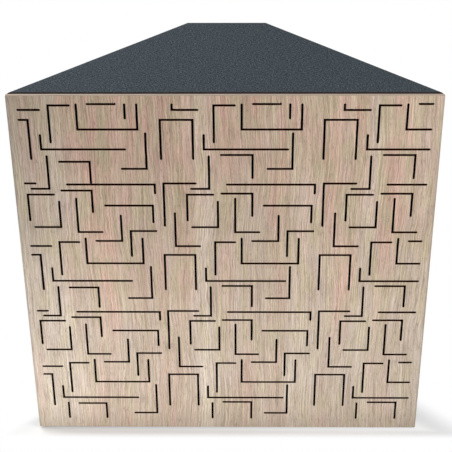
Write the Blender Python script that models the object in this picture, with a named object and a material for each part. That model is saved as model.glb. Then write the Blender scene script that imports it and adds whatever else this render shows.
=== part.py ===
"""Free-standing corner bass trap, modelled as it is built.

A slotted, veneered front plate closes a wedge of absorber slabs held by a light wooden
frame. The wedge has two sides at 45 degrees, so it stands in a right-angled room corner,
and it is dressed in sewn cloth panels. Metres, +Z up, front facing -Y, origin on the
floor under the middle of the bounding box.
"""

import math

import bpy
import bmesh
from mathutils import Matrix, Vector

# Overall form
FACE_WIDTH = 0.610
FACE_HEIGHT = 0.600
BACK_WIDTH = 0.120
WALL_ANGLE = math.radians(45.0)

# Fits and cloth
CLEARANCE = 0.0003
COVER_THICKNESS = 0.0015
BACKING_THICKNESS = 0.0010
SEAM_GAP = 0.0030

# Front plate and its labyrinth of slots
PLATE_THICKNESS = 0.0050
PLATE_CORNER_RADIUS = 0.0015
PLATE_ARRIS = 0.0004
SLOT_WIDTH = 0.0034
SLOT_MARGIN_SIDE = 0.0140
SLOT_MARGIN_TOP = 0.0122
SLOT_MARGIN_BOTTOM = 0.0181
TILE_WIDTH = 0.2312
TILE_HEIGHT = 0.2265
TILE_START_X = -0.0225
SHORTEST_SLOT = 0.0060

# Wooden frame
BOARD_THICKNESS = 0.0120
BATTEN_THICKNESS = 0.0200
FRONT_POST_WIDTH = 0.0400
REAR_POST_WIDTH = 0.0220
RAIL_HEIGHT = 0.0400
DOWEL_RADIUS = 0.0040
DOWEL_LENGTH = 0.0300

# Frame screws, countersunk
SCREW_LENGTH = 0.0400
SCREW_RADIUS = 0.0020
SCREW_HEAD_RADIUS = 0.0040
SCREW_HEAD_HEIGHT = 0.0024
SCREW_TIP_LENGTH = 0.0040
SCREW_SINK = 0.0005

# Absorber
SLAB_COUNT = 4

# Nailed glides under the base
GLIDE_RADIUS = 0.0110
GLIDE_HEIGHT = 0.0030
GLIDE_CHAMFER = 0.0008
GLIDE_NAIL_RADIUS = 0.0012
GLIDE_NAIL_LENGTH = 0.0100
FRONT_GLIDE_INSET_X = 0.0700
FRONT_GLIDE_INSET_Y = 0.0300
REAR_GLIDE_INSET_X = 0.0200
REAR_GLIDE_INSET_Y = 0.0250

# Facets of the round shapes
END_STEPS = 4
CORNER_STEPS = 4
ROUND_SEGMENTS = 16

# Depths, front to back
BODY_DEPTH = (FACE_WIDTH - BACK_WIDTH) / 2 * math.tan(WALL_ANGLE)
PLATE_FRONT_Y = -(PLATE_THICKNESS + BODY_DEPTH) / 2
PLATE_BACK_Y = PLATE_FRONT_Y + PLATE_THICKNESS
BACKING_FRONT_Y = PLATE_BACK_Y + CLEARANCE
FRAME_FRONT_Y = BACKING_FRONT_Y + BACKING_THICKNESS + CLEARANCE
COVER_FRONT_Y = PLATE_BACK_Y + SEAM_GAP
BACK_Y = PLATE_BACK_Y + BODY_DEPTH
COVER_INSET = COVER_THICKNESS + CLEARANCE
FRAME_BACK_Y = BACK_Y - COVER_INSET
FRONT_BATTEN_Y = FRAME_FRONT_Y + BATTEN_THICKNESS / 2
REAR_BATTEN_Y = FRAME_BACK_Y - BATTEN_THICKNESS / 2

# Heights, floor to top
BASE_Z = GLIDE_HEIGHT
TOP_Z = BASE_Z + FACE_HEIGHT
BOTTOM_BOARD_Z = BASE_Z + COVER_INSET
POST_BOTTOM_Z = BOTTOM_BOARD_Z + BOARD_THICKNESS + CLEARANCE
TOP_BOARD_Z = TOP_Z - COVER_INSET - BOARD_THICKNESS
POST_TOP_Z = TOP_BOARD_Z - CLEARANCE
MIDDLE_Z = (BASE_Z + TOP_Z) / 2

# One tile of the labyrinth. Each stroke is the centre line of a slot, in percent of the
# tile's width from its left edge and of its height down from its top edge.
STROKES = {
    "left_foot": [(9.7, 83.8), (9.7, 109.9), (25.9, 109.9)],
    "left_arch": [(2.2, 45.2), (2.2, 16.8), (22.0, 16.8), (22.0, 45.2)],
    "upper_gallows": [(34.9, 33.3), (34.9, 6.8), (48.4, 6.8)],
    "upper_cup": [(51.9, 3.2), (51.9, 23.5), (88.4, 23.5), (88.4, 3.3)],
    "right_heel": [(75.3, 85.6), (75.3, 105.9), (58.0, 105.9)],
    "corner_step": [(98.2, 98.2), (81.1, 98.2), (81.1, 118.4)],
    "upper_bar": [(28.7, 26.7), (28.7, 37.6), (81.0, 37.6)],
    "right_hook": [(83.2, 25.5), (83.2, 51.6), (67.2, 51.6)],
    "middle_flag": [(38.5, 41.6), (58.6, 41.6), (58.6, 59.0)],
    "left_heel": [(31.6, 41.8), (31.6, 66.3), (19.6, 66.3)],
    "left_flag": [(23.9, 62.3), (3.1, 62.3), (3.1, 94.9)],
    "long_bar": [(42.0, 63.1), (97.6, 63.1), (97.6, 70.4)],
    "inner_flag": [(34.8, 70.6), (17.6, 70.6), (17.6, 90.8)],
    "inner_heel": [(36.9, 75.1), (36.9, 95.2), (19.7, 95.2)],
    "lower_flag": [(38.5, 69.8), (58.6, 69.8), (58.6, 87.3)],
    "lower_foot": [(47.8, 72.8), (47.8, 99.0), (63.8, 99.0)],
    "lower_bar": [(65.1, 78.8), (95.9, 78.8), (95.9, 92.2)],
}

# Strokes that one column, or one row of it, has its own form of. The key is the column,
# counted from the left, and None or the row, counted from the partial row at the top.
OWN_STROKES = {
    (0, 1, "middle_flag"): [(38.4, 46.5), (57.9, 46.5), (57.9, 62.6)],
    (0, None, "middle_flag"): [(38.3, 43.0), (57.9, 43.0), (57.9, 59.8)],
    (0, None, "right_hook"): [(93.0, 25.5), (93.0, 51.6), (76.9, 51.6)],
    (0, None, "lower_flag"): [(38.3, 67.6), (57.9, 67.6), (57.9, 84.6)],
    (0, None, "left_foot"): [(9.7, 83.8), (9.7, 109.9), (30.2, 109.9)],
    (2, 0, "left_foot"): [(13.9, 83.8), (13.9, 110.0), (30.3, 110.0)],
    (2, None, "left_foot"): [(10.9, 83.8), (10.9, 109.9), (27.1, 109.9)],
    (None, 0, "corner_step"): [(98.2, 98.2), (81.1, 98.2), (81.1, 116.5)],
}


def linear(red, green, blue):
    """Turn a display colour, 0 to 255, into the linear colour that a shader takes."""
    def channel(value):
        value /= 255.0
        return value / 12.92 if value <= 0.04045 else ((value + 0.055) / 1.055) ** 2.4
    return (channel(red), channel(green), channel(blue), 1.0)


def make_material(name, colour, roughness):
    """Make a Principled material in one plain colour."""
    material = bpy.data.materials.new(name)
    material.use_nodes = True
    shader = material.node_tree.nodes["Principled BSDF"]
    shader.inputs["Base Color"].default_value = colour
    shader.inputs["Roughness"].default_value = roughness
    shader.inputs["Metallic"].default_value = 0.0
    material.diffuse_color = colour
    return material


def make_empty(name, location=(0.0, 0.0, 0.0), parent=None):
    """Add an empty that a sub-assembly hangs on."""
    empty = bpy.data.objects.new(name, None)
    empty.location = location
    empty.parent = parent
    bpy.context.scene.collection.objects.link(empty)
    return empty


def add_object(name, mesh_builder, material, location=(0.0, 0.0, 0.0), parent=None):
    """Turn a bmesh into a named object and place it."""
    bmesh.ops.recalc_face_normals(mesh_builder, faces=mesh_builder.faces)
    mesh = bpy.data.meshes.new(name)
    mesh_builder.to_mesh(mesh)
    mesh_builder.free()
    piece = bpy.data.objects.new(name, mesh)
    piece.location = location
    piece.parent = parent
    bpy.context.scene.collection.objects.link(piece)
    if material is not None:
        mesh.materials.append(material)
    return piece


def hide_cutter(cutter):
    """Mark an object as a tool that only cuts."""
    cutter.hide_render = True
    cutter.display_type = "WIRE"
    return cutter


def cut(piece, cutter, overlapping=False):
    """Cut one object with another by a Boolean modifier that stays on it."""
    modifier = piece.modifiers.new(cutter.name, "BOOLEAN")
    modifier.operation = "DIFFERENCE"
    modifier.solver = "EXACT"
    modifier.use_self = overlapping
    modifier.object = cutter


def extrude_outline(mesh_builder, outline, direction):
    """Add a closed prism: an outline of 3-D points swept along a direction."""
    base = [mesh_builder.verts.new(point) for point in outline]
    face = mesh_builder.faces.new(base)
    swept = bmesh.ops.extrude_face_region(mesh_builder, geom=[face], use_keep_orig=True)
    moved = [item for item in swept["geom"] if isinstance(item, bmesh.types.BMVert)]
    bmesh.ops.translate(mesh_builder, verts=moved, vec=direction)


def plan_prism(name, plan, low_z, high_z, material, parent):
    """Make a piece from its outline in plan, with its origin at the outline's middle."""
    centre_x = sum(x for x, y in plan) / len(plan)
    centre_y = sum(y for x, y in plan) / len(plan)
    outline = [(x - centre_x, y - centre_y, 0.0) for x, y in plan]
    mesh_builder = bmesh.new()
    extrude_outline(mesh_builder, outline, (0.0, 0.0, high_z - low_z))
    return add_object(name, mesh_builder, material, (centre_x, centre_y, low_z), parent)


def turned_shape(mesh_builder, profile, turn=Matrix.Identity(4)):
    """Add a closed turned body. The profile runs from the axis out and back to the axis."""
    turned = bmesh.new()
    verts = [turned.verts.new((radius, 0.0, height)) for radius, height in profile]
    edges = [turned.edges.new(pair) for pair in zip(verts, verts[1:])]
    bmesh.ops.spin(
        turned,
        geom=verts + edges,
        cent=(0.0, 0.0, 0.0),
        axis=(0.0, 0.0, 1.0),
        angle=math.tau,
        steps=ROUND_SEGMENTS,
    )
    bmesh.ops.remove_doubles(turned, verts=turned.verts, dist=CLEARANCE / 10)
    bmesh.ops.transform(turned, matrix=turn, verts=turned.verts)
    mesh = bpy.data.meshes.new("turned_shape")
    turned.to_mesh(mesh)
    turned.free()
    mesh_builder.from_mesh(mesh)
    bpy.data.meshes.remove(mesh)


def shade_round(piece):
    """Shade a round piece smooth, with its real edges sharp."""
    piece.data.shade_smooth()
    piece.data.set_sharp_from_angle(angle=math.radians(35.0))


def side_x(depth_y, inset=0.0):
    """Give the right side wall's x at a depth, moved in square to the wall by an inset."""
    run = (depth_y - PLATE_BACK_Y) / math.tan(WALL_ANGLE)
    return FACE_WIDTH / 2 - run - inset / math.sin(WALL_ANGLE)


def wedge_plan(front_y, back_y, inset=0.0):
    """Give the wedge's outline in plan between two depths."""
    front_x = side_x(front_y, inset)
    back_x = side_x(back_y, inset)
    return [(-front_x, front_y), (front_x, front_y), (back_x, back_y), (-back_x, back_y)]


def mirrored(plan):
    """Mirror an outline in plan to the other side, keeping its turning sense."""
    return [(-x, y) for x, y in reversed(plan)]


def stroke_points(column, row):
    """List one tile's strokes on the plate, as x from its left edge and z down its face."""
    left = TILE_START_X + column * TILE_WIDTH
    top = (row - 1) * TILE_HEIGHT
    for name, points in STROKES.items():
        for key in ((column, row, name), (column, None, name), (None, row, name)):
            if key in OWN_STROKES:
                points = OWN_STROKES[key]
                break
        yield [(left + u * TILE_WIDTH / 100, top + v * TILE_HEIGHT / 100) for u, v in points]


def clip_stroke(points, low, high):
    """Clip a stroke of level and upright runs to a window, as one or more open strokes."""
    pieces = []
    current = []
    for start, end in zip(points, points[1:]):
        inside = []
        for axis in (0, 1):
            first, last = start[axis], end[axis]
            inside.append(min(first, last) <= high[axis] and max(first, last) >= low[axis])
        if not all(inside):
            if current:
                pieces.append(current)
            current = []
            continue
        cut_start = tuple(min(max(start[axis], low[axis]), high[axis]) for axis in (0, 1))
        cut_end = tuple(min(max(end[axis], low[axis]), high[axis]) for axis in (0, 1))
        if not current or current[-1] != cut_start:
            if current:
                pieces.append(current)
            current = [cut_start]
        if cut_end != cut_start:
            current.append(cut_end)
    if current:
        pieces.append(current)
    return pieces


def stroke_length(points):
    """Measure a stroke along its runs."""
    return sum(math.dist(start, end) for start, end in zip(points, points[1:]))


def shorten_ends(points, amount):
    """Pull a stroke's two ends in, so that its round ends reach only to where it ended."""
    ends = []
    for end, neighbour in ((points[0], points[1]), (points[-1], points[-2])):
        length = math.dist(end, neighbour)
        share = min(amount / length, 0.5)
        ends.append(tuple(a + (b - a) * share for a, b in zip(end, neighbour)))
    return [ends[0]] + list(points[1:-1]) + [ends[1]]


def slot_outline(points, half_width):
    """Outline a slot: a stroke's two sides, mitred at its corners, and its round ends."""
    path = [Vector(point) for point in points]
    headings = [(end - start).normalized() for start, end in zip(path, path[1:])]
    normals = [Vector((-heading.y, heading.x)) for heading in headings]

    def side(sign):
        corners = []
        for index in range(1, len(path) - 1):
            mitre = normals[index - 1] + normals[index]
            corners.append(path[index] + mitre * half_width * sign)
        return corners

    def round_end(centre, normal, heading):
        arc = []
        for step in range(END_STEPS + 1):
            angle = math.pi * step / END_STEPS
            arc.append(centre + (normal * math.cos(angle) + heading * math.sin(angle)) * half_width)
        return arc

    outline = side(1.0)
    outline += round_end(path[-1], normals[-1], headings[-1])
    outline += reversed(side(-1.0))
    outline += round_end(path[0], -normals[0], -headings[0])
    return outline


def labyrinth_strokes():
    """List every slot's centre line on the plate, clipped to the slotted field."""
    low = (SLOT_MARGIN_SIDE, SLOT_MARGIN_TOP)
    high = (FACE_WIDTH - SLOT_MARGIN_SIDE, FACE_HEIGHT - SLOT_MARGIN_BOTTOM)
    columns = math.ceil((FACE_WIDTH - TILE_START_X) / TILE_WIDTH)
    rows = math.ceil(FACE_HEIGHT / TILE_HEIGHT) + 1
    strokes = []
    for column in range(columns):
        for row in range(rows):
            for points in stroke_points(column, row):
                for piece in clip_stroke(points, low, high):
                    if len(piece) > 1 and stroke_length(piece) >= SHORTEST_SLOT:
                        strokes.append(shorten_ends(piece, SLOT_WIDTH / 2))
    return strokes


def plate_outline():
    """Outline the front plate on its face, with small round corners."""
    half_width = FACE_WIDTH / 2
    half_height = FACE_HEIGHT / 2
    radius = PLATE_CORNER_RADIUS
    outline = []
    for quarter, (sign_x, sign_z) in enumerate(((1, 1), (-1, 1), (-1, -1), (1, -1))):
        centre = (sign_x * (half_width - radius), sign_z * (half_height - radius))
        for step in range(CORNER_STEPS + 1):
            angle = math.pi / 2 * (quarter + step / CORNER_STEPS)
            outline.append((centre[0] + radius * math.cos(angle), centre[1] + radius * math.sin(angle)))
    return outline


def build_front_plate(material, parent):
    """Make the veneered plate and cut its labyrinth of slots through it."""
    mesh_builder = bmesh.new()
    outline = [(x, 0.0, z) for x, z in plate_outline()]
    extrude_outline(mesh_builder, outline, (0.0, PLATE_THICKNESS, 0.0))
    front_edges = [
        edge for edge in mesh_builder.edges
        if all(abs(vert.co.y) < CLEARANCE for vert in edge.verts)
    ]
    bmesh.ops.bevel(
        mesh_builder, geom=front_edges, offset=PLATE_ARRIS, segments=1, affect="EDGES",
    )
    centre_z = BASE_Z + FACE_HEIGHT / 2
    plate = add_object("front_plate", mesh_builder, material, (0.0, PLATE_FRONT_Y, centre_z), parent)

    slots = bmesh.new()
    reach = PLATE_THICKNESS
    for points in labyrinth_strokes():
        outline = [
            (x - FACE_WIDTH / 2, -reach, FACE_HEIGHT / 2 - down)
            for x, down in slot_outline(points, SLOT_WIDTH / 2)
        ]
        extrude_outline(slots, outline, (0.0, PLATE_THICKNESS + 2 * reach, 0.0))
    cutter = hide_cutter(add_object("labyrinth_cutter", slots, None, plate.location, parent))
    cut(plate, cutter, overlapping=True)
    return plate


def build_backing_cloth(material, parent):
    """Make the thin black cloth that is stretched between the plate and the frame."""
    half = side_x(FRAME_FRONT_Y, COVER_INSET)
    plan = [
        (-half, BACKING_FRONT_Y),
        (half, BACKING_FRONT_Y),
        (half, BACKING_FRONT_Y + BACKING_THICKNESS),
        (-half, BACKING_FRONT_Y + BACKING_THICKNESS),
    ]
    return plan_prism("backing_cloth", plan, BOTTOM_BOARD_Z, TOP_Z - COVER_INSET, material, parent)


def front_post_plan():
    """Outline the right front post: a batten with its outer edge ripped to the wall's angle."""
    back_y = FRAME_FRONT_Y + BATTEN_THICKNESS
    tip_x = side_x(FRAME_FRONT_Y, COVER_INSET)
    inner_x = tip_x - FRONT_POST_WIDTH
    return [
        (inner_x, FRAME_FRONT_Y),
        (tip_x, FRAME_FRONT_Y),
        (side_x(back_y, COVER_INSET), back_y),
        (inner_x, back_y),
    ]


def rear_post_plan():
    """Outline the right rear post, ripped to the same angle."""
    front_y = FRAME_BACK_Y - BATTEN_THICKNESS
    back_x = side_x(FRAME_BACK_Y, COVER_INSET)
    inner_x = back_x - REAR_POST_WIDTH
    return [
        (inner_x, front_y),
        (side_x(front_y, COVER_INSET), front_y),
        (back_x, FRAME_BACK_Y),
        (inner_x, FRAME_BACK_Y),
    ]


def screw_places():
    """Give the plan place of the screw in each post, on the batten's middle line."""
    front_x = side_x(FRONT_BATTEN_Y, COVER_INSET) - FRONT_POST_WIDTH / 2
    rear_x = side_x(REAR_BATTEN_Y, COVER_INSET) - REAR_POST_WIDTH / 2 - BATTEN_THICKNESS / 4
    return {
        "front_left": (-front_x, FRONT_BATTEN_Y),
        "front_right": (front_x, FRONT_BATTEN_Y),
        "rear_left": (-rear_x, REAR_BATTEN_Y),
        "rear_right": (rear_x, REAR_BATTEN_Y),
    }


def screw_profile():
    """Profile a countersunk screw, head up, with its head's top at height zero."""
    return [
        (0.0, -SCREW_LENGTH),
        (SCREW_RADIUS / 4, -SCREW_LENGTH),
        (SCREW_RADIUS, SCREW_TIP_LENGTH - SCREW_LENGTH),
        (SCREW_RADIUS, -SCREW_HEAD_HEIGHT),
        (SCREW_HEAD_RADIUS, 0.0),
        (0.0, 0.0),
    ]


def screw_bore_profile():
    """Profile a screw's hole: the screw and its clearance, open past the board's face."""
    hole = [(radius + CLEARANCE, height) for radius, height in screw_profile()[1:-1]]
    bottom_z = -SCREW_LENGTH - CLEARANCE
    mouth_z = SCREW_SINK * 3
    return [
        (0.0, bottom_z),
        (hole[0][0], bottom_z),
        *hole[1:],
        (hole[-1][0], mouth_z),
        (0.0, mouth_z),
    ]


def screw_seats():
    """Give each frame screw's name and the matrix that seats it, head outwards."""
    seats = {}
    for corner, (x, y) in screw_places().items():
        top = Matrix.Translation((x, y, TOP_BOARD_Z + BOARD_THICKNESS - SCREW_SINK))
        bottom = Matrix.Translation((x, y, BOTTOM_BOARD_Z + SCREW_SINK))
        seats[f"frame_screw_top_{corner}"] = top
        seats[f"frame_screw_bottom_{corner}"] = bottom @ Matrix.Rotation(math.pi, 4, "X")
    return seats


def glide_places():
    """Give the plan place of each glide."""
    front_y = PLATE_BACK_Y + FRONT_GLIDE_INSET_Y
    rear_y = BACK_Y - REAR_GLIDE_INSET_Y
    front_x = FACE_WIDTH / 2 - FRONT_GLIDE_INSET_X
    rear_x = side_x(rear_y) - BATTEN_THICKNESS - REAR_GLIDE_INSET_X
    return {
        "front_left": (-front_x, front_y),
        "front_right": (front_x, front_y),
        "rear_left": (-rear_x, rear_y),
        "rear_right": (rear_x, rear_y),
    }


def glide_profile():
    """Profile a glide: a low domed foot with a nail on top."""
    top = GLIDE_HEIGHT - CLEARANCE
    return [
        (0.0, 0.0),
        (GLIDE_RADIUS - GLIDE_CHAMFER, 0.0),
        (GLIDE_RADIUS, GLIDE_CHAMFER),
        (GLIDE_RADIUS, top),
        (GLIDE_NAIL_RADIUS, top),
        (GLIDE_NAIL_RADIUS, top + GLIDE_NAIL_LENGTH - GLIDE_NAIL_RADIUS),
        (0.0, top + GLIDE_NAIL_LENGTH),
    ]


def build_bore_cutters(parent):
    """Make the cutters for the screw, dowel and nail holes."""
    screws = bmesh.new()
    for seat in screw_seats().values():
        turned_shape(screws, screw_bore_profile(), seat)
    dowels = bmesh.new()
    for seat in dowel_seats().values():
        turned_shape(dowels, dowel_profile(CLEARANCE), seat)
    nails = bmesh.new()
    reach = GLIDE_NAIL_RADIUS + CLEARANCE
    for x, y in glide_places().values():
        profile = [
            (0.0, 0.0),
            (reach, 0.0),
            (reach, GLIDE_HEIGHT + GLIDE_NAIL_LENGTH),
            (0.0, GLIDE_HEIGHT + GLIDE_NAIL_LENGTH),
        ]
        turned_shape(nails, profile, Matrix.Translation((x, y, 0.0)))
    return {
        "screw": hide_cutter(add_object("screw_cutter", screws, None, parent=parent)),
        "dowel": hide_cutter(add_object("dowel_cutter", dowels, None, parent=parent)),
        "nail": hide_cutter(add_object("nail_cutter", nails, None, parent=parent)),
    }


def dowel_profile(extra=0.0):
    """Profile a dowel with its middle at height zero."""
    half = DOWEL_LENGTH / 2 + extra
    radius = DOWEL_RADIUS + extra
    chamfer = DOWEL_RADIUS / 4
    return [
        (0.0, -half),
        (radius - chamfer, -half),
        (radius, -half + chamfer),
        (radius, half - chamfer),
        (radius - chamfer, half),
        (0.0, half),
    ]


def dowel_seats():
    """Give each rail dowel's matrix: lying along X, half in the rail and half in the post."""
    joint_x = side_x(FRAME_FRONT_Y, COVER_INSET) - FRONT_POST_WIDTH - CLEARANCE / 2
    lying = Matrix.Rotation(math.pi / 2, 4, "Y")
    return {
        "rail_dowel_left": Matrix.Translation((-joint_x, FRONT_BATTEN_Y, MIDDLE_Z)) @ lying,
        "rail_dowel_right": Matrix.Translation((joint_x, FRONT_BATTEN_Y, MIDDLE_Z)) @ lying,
    }


def build_frame(wood, steel, cutters, parent):
    """Make the boards, posts and rail, with the screws and dowels that join them."""
    board_plan = wedge_plan(FRAME_FRONT_Y, FRAME_BACK_Y, COVER_INSET)
    top = plan_prism(
        "top_board", board_plan, TOP_BOARD_Z, TOP_BOARD_Z + BOARD_THICKNESS, wood, parent,
    )
    bottom = plan_prism(
        "bottom_board", board_plan, BOTTOM_BOARD_Z, BOTTOM_BOARD_Z + BOARD_THICKNESS, wood, parent,
    )
    cut(top, cutters["screw"])
    cut(bottom, cutters["screw"])
    cut(bottom, cutters["nail"])
    post_plans = {
        "front_post_right": front_post_plan(),
        "front_post_left": mirrored(front_post_plan()),
        "rear_post_right": rear_post_plan(),
        "rear_post_left": mirrored(rear_post_plan()),
    }
    for name, plan in post_plans.items():
        post = plan_prism(name, plan, POST_BOTTOM_Z, POST_TOP_Z, wood, parent)
        cut(post, cutters["screw"])
        if name.startswith("front"):
            cut(post, cutters["dowel"])
    rail_half = side_x(FRAME_FRONT_Y, COVER_INSET) - FRONT_POST_WIDTH - CLEARANCE
    rail_back = FRAME_FRONT_Y + BATTEN_THICKNESS
    rail_plan = [
        (-rail_half, FRAME_FRONT_Y),
        (rail_half, FRAME_FRONT_Y),
        (rail_half, rail_back),
        (-rail_half, rail_back),
    ]
    low_z = MIDDLE_Z - RAIL_HEIGHT / 2
    rail = plan_prism("middle_rail", rail_plan, low_z, low_z + RAIL_HEIGHT, wood, parent)
    cut(rail, cutters["dowel"])
    for name, seat in dowel_seats().items():
        dowel = bmesh.new()
        turned_shape(dowel, dowel_profile())
        place_turned(name, dowel, wood, seat, parent)
    for name, seat in screw_seats().items():
        screw = bmesh.new()
        turned_shape(screw, screw_profile())
        place_turned(name, screw, steel, seat, parent)


def place_turned(name, mesh_builder, material, seat, parent):
    """Add a turned piece and put it in its seat by location and rotation."""
    piece = add_object(name, mesh_builder, material, seat.to_translation(), parent)
    piece.rotation_euler = seat.to_euler()
    shade_round(piece)
    return piece


def build_absorber(material, parent):
    """Make the absorber slabs, laid front to back with mitred ends that follow the sides."""
    front_y = FRAME_FRONT_Y + BATTEN_THICKNESS + CLEARANCE
    back_y = FRAME_BACK_Y - BATTEN_THICKNESS - CLEARANCE
    thickness = (back_y - front_y - (SLAB_COUNT - 1) * CLEARANCE) / SLAB_COUNT
    for index in range(SLAB_COUNT):
        slab_front = front_y + index * (thickness + CLEARANCE)
        plan = wedge_plan(slab_front, slab_front + thickness, COVER_INSET)
        name = f"absorber_slab_{index + 1}"
        plan_prism(name, plan, POST_BOTTOM_Z, POST_TOP_Z, material, parent)


def build_covers(cloth, dust_cloth, cutters, parent):
    """Make the sewn cloth panels: top, two sides, back, and the dust cloth below."""
    end_plan = wedge_plan(COVER_FRONT_Y, BACK_Y)
    plan_prism("cover_top", end_plan, TOP_Z - COVER_THICKNESS, TOP_Z, cloth, parent)
    dust_cover = plan_prism(
        "cover_bottom", end_plan, BASE_Z, BASE_Z + COVER_THICKNESS, dust_cloth, parent,
    )
    cut(dust_cover, cutters["nail"])
    low_z = BASE_Z + COVER_INSET
    high_z = TOP_Z - COVER_INSET
    side_back_y = BACK_Y - COVER_INSET
    side_plan = [
        (side_x(COVER_FRONT_Y, COVER_THICKNESS), COVER_FRONT_Y),
        (side_x(COVER_FRONT_Y), COVER_FRONT_Y),
        (side_x(side_back_y), side_back_y),
        (side_x(side_back_y, COVER_THICKNESS), side_back_y),
    ]
    plan_prism("cover_right", side_plan, low_z, high_z, cloth, parent)
    plan_prism("cover_left", mirrored(side_plan), low_z, high_z, cloth, parent)
    back_plan = wedge_plan(BACK_Y - COVER_THICKNESS, BACK_Y)
    plan_prism("cover_back", back_plan, low_z, high_z, cloth, parent)


def build_glides(material, parent):
    """Make the glides that are nailed through the dust cloth into the bottom board."""
    for corner, (x, y) in glide_places().items():
        glide = bmesh.new()
        turned_shape(glide, glide_profile())
        place_turned(f"glide_{corner}", glide, material, Matrix.Translation((x, y, 0.0)), parent)


def main():
    """Clear the scene and build the bass trap."""
    for old in list(bpy.data.objects):
        bpy.data.objects.remove(old)
    veneer = make_material("oak_veneer", linear(180, 160, 139), 0.55)
    wood = make_material("frame_wood", linear(44, 40, 38), 0.75)
    steel = make_material("screw_steel", linear(120, 120, 122), 0.35)
    wool = make_material("absorber_wool", linear(110, 108, 100), 0.95)
    cloth = make_material("cover_cloth", linear(70, 78, 85), 0.95)
    black_cloth = make_material("black_cloth", linear(14, 12, 12), 0.95)
    plastic = make_material("glide_plastic", linear(24, 24, 25), 0.5)

    trap = make_empty("bass_trap")
    frame = make_empty("wooden_frame", parent=trap)
    cutters = build_bore_cutters(frame)
    build_front_plate(veneer, trap)
    build_backing_cloth(black_cloth, trap)
    build_frame(wood, steel, cutters, frame)
    build_absorber(wool, trap)
    build_covers(cloth, black_cloth, cutters, trap)
    build_glides(plastic, trap)


main()
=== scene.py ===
"""Looks of a free-standing corner bass trap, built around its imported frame.

A slotted oak-veneer plate closes a wedge that stands in a room corner. The wedge is dressed
in a sewn melange cloth, stretched over fibre slabs and a black-stained wooden frame. Every
size here is read from the frame or is a named field of the piece that it belongs to.
Metres, +Z up, the plate facing -Y.
"""

import logging
import math
from dataclasses import dataclass, replace
from enum import Enum
from functools import cached_property
from typing import Callable, Sequence

import bmesh
import bpy
from mathutils import Matrix, Vector, noise

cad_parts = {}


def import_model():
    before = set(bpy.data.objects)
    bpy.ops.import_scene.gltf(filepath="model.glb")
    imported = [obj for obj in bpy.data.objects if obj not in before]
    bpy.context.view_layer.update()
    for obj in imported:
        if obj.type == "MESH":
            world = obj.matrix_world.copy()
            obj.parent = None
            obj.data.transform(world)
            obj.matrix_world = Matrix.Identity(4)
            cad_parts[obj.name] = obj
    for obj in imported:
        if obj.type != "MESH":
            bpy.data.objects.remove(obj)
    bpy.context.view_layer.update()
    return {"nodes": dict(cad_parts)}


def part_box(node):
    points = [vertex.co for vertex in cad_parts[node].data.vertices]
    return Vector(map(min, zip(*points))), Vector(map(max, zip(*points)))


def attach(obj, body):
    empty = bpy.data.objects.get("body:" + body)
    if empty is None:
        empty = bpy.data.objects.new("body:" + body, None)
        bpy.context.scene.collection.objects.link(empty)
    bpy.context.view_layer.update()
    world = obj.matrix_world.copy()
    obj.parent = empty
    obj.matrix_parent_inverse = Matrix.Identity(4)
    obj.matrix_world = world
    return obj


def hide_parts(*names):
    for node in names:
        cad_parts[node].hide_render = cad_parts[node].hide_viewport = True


LOG = logging.getLogger("bass_trap")
MM = 0.001
BODY = "root"
STARTUP_OBJECTS = ("Cube", "Light", "Camera")
# The UV map, and the vertex attribute of painted seam shade, that a cloth's material reads
CUT_MAP = "cut"
CREASE_SHADE = "crease"
# Vertices this close to a face's plane lie on the face
ON_FACE = 0.1 * MM
# Vertices this close together are one
MERGED = 0.01 * MM
# The colour sockets of a mix node, which share their names with its other sockets
MIX_FIRST = 6
MIX_SECOND = 7
MIX_RESULT = 2

Colour = tuple[float, float, float, float]
Triple = tuple[float, float, float]
Piece = bpy.types.Object
Material = bpy.types.Material
Node = bpy.types.Node
Socket = bpy.types.NodeSocket
Nodes = dict[str, Piece]
# What a sheet asks for each row and column of its grid
GridPlace = Callable[[int, int], Vector]
GridCut = Callable[[int, int], tuple[float, float]]
GridShare = Callable[[int, int], float]

WHITE: Colour = (1.0, 1.0, 1.0, 1.0)
# Colours of the warmer lamps
WARM: Triple = (1.0, 0.985, 0.96)
MILD: Triple = (1.0, 0.99, 0.98)


def shade(red: float, green: float, blue: float) -> Colour:
    """Turn a display colour into the linear colour that a shader takes, by the sRGB curve.

    Args:
        red: Red, 0 to 255.
        green: Green, 0 to 255.
        blue: Blue, 0 to 255.

    Returns:
        The linear colour, with alpha 1.
    """
    linear = []
    for value in (red, green, blue):
        share = value / 255.0
        linear.append(share / 12.92 if share <= 0.04045 else ((share + 0.055) / 1.055) ** 2.4)
    return (linear[0], linear[1], linear[2], 1.0)


def hump(share: float) -> float:
    """Give a curve that is 0 at a share of 0 or 1, and 1 in the middle."""
    return 4 * share * (1 - share)


def rear_half(name: str, nodes: Nodes) -> float:
    """Give a node's half width at its rear face."""
    rear_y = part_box(name)[1].y
    return max(vert.co.x for vert in nodes[name].data.vertices if rear_y - vert.co.y < ON_FACE)


class GrainAxis(Enum):
    """The axis that the grain of a wooden piece runs along."""

    ACROSS = 0
    DEEP = 1
    UPRIGHT = 2


class Side(Enum):
    """The wall that a cloth panel faces."""

    LEFT = "left"
    RIGHT = "right"
    BACK = "back"


@dataclass(frozen=True)
class PlateSizes:
    """Where the front plate is."""

    half_width: float
    height: float
    middle_z: float
    front_y: float

    @classmethod
    def read(cls) -> "PlateSizes":
        """Read the plate's box from the frame."""
        low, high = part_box("front_plate")
        return cls(high.x, high.z - low.z, (high.z + low.z) / 2, low.y)


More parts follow.
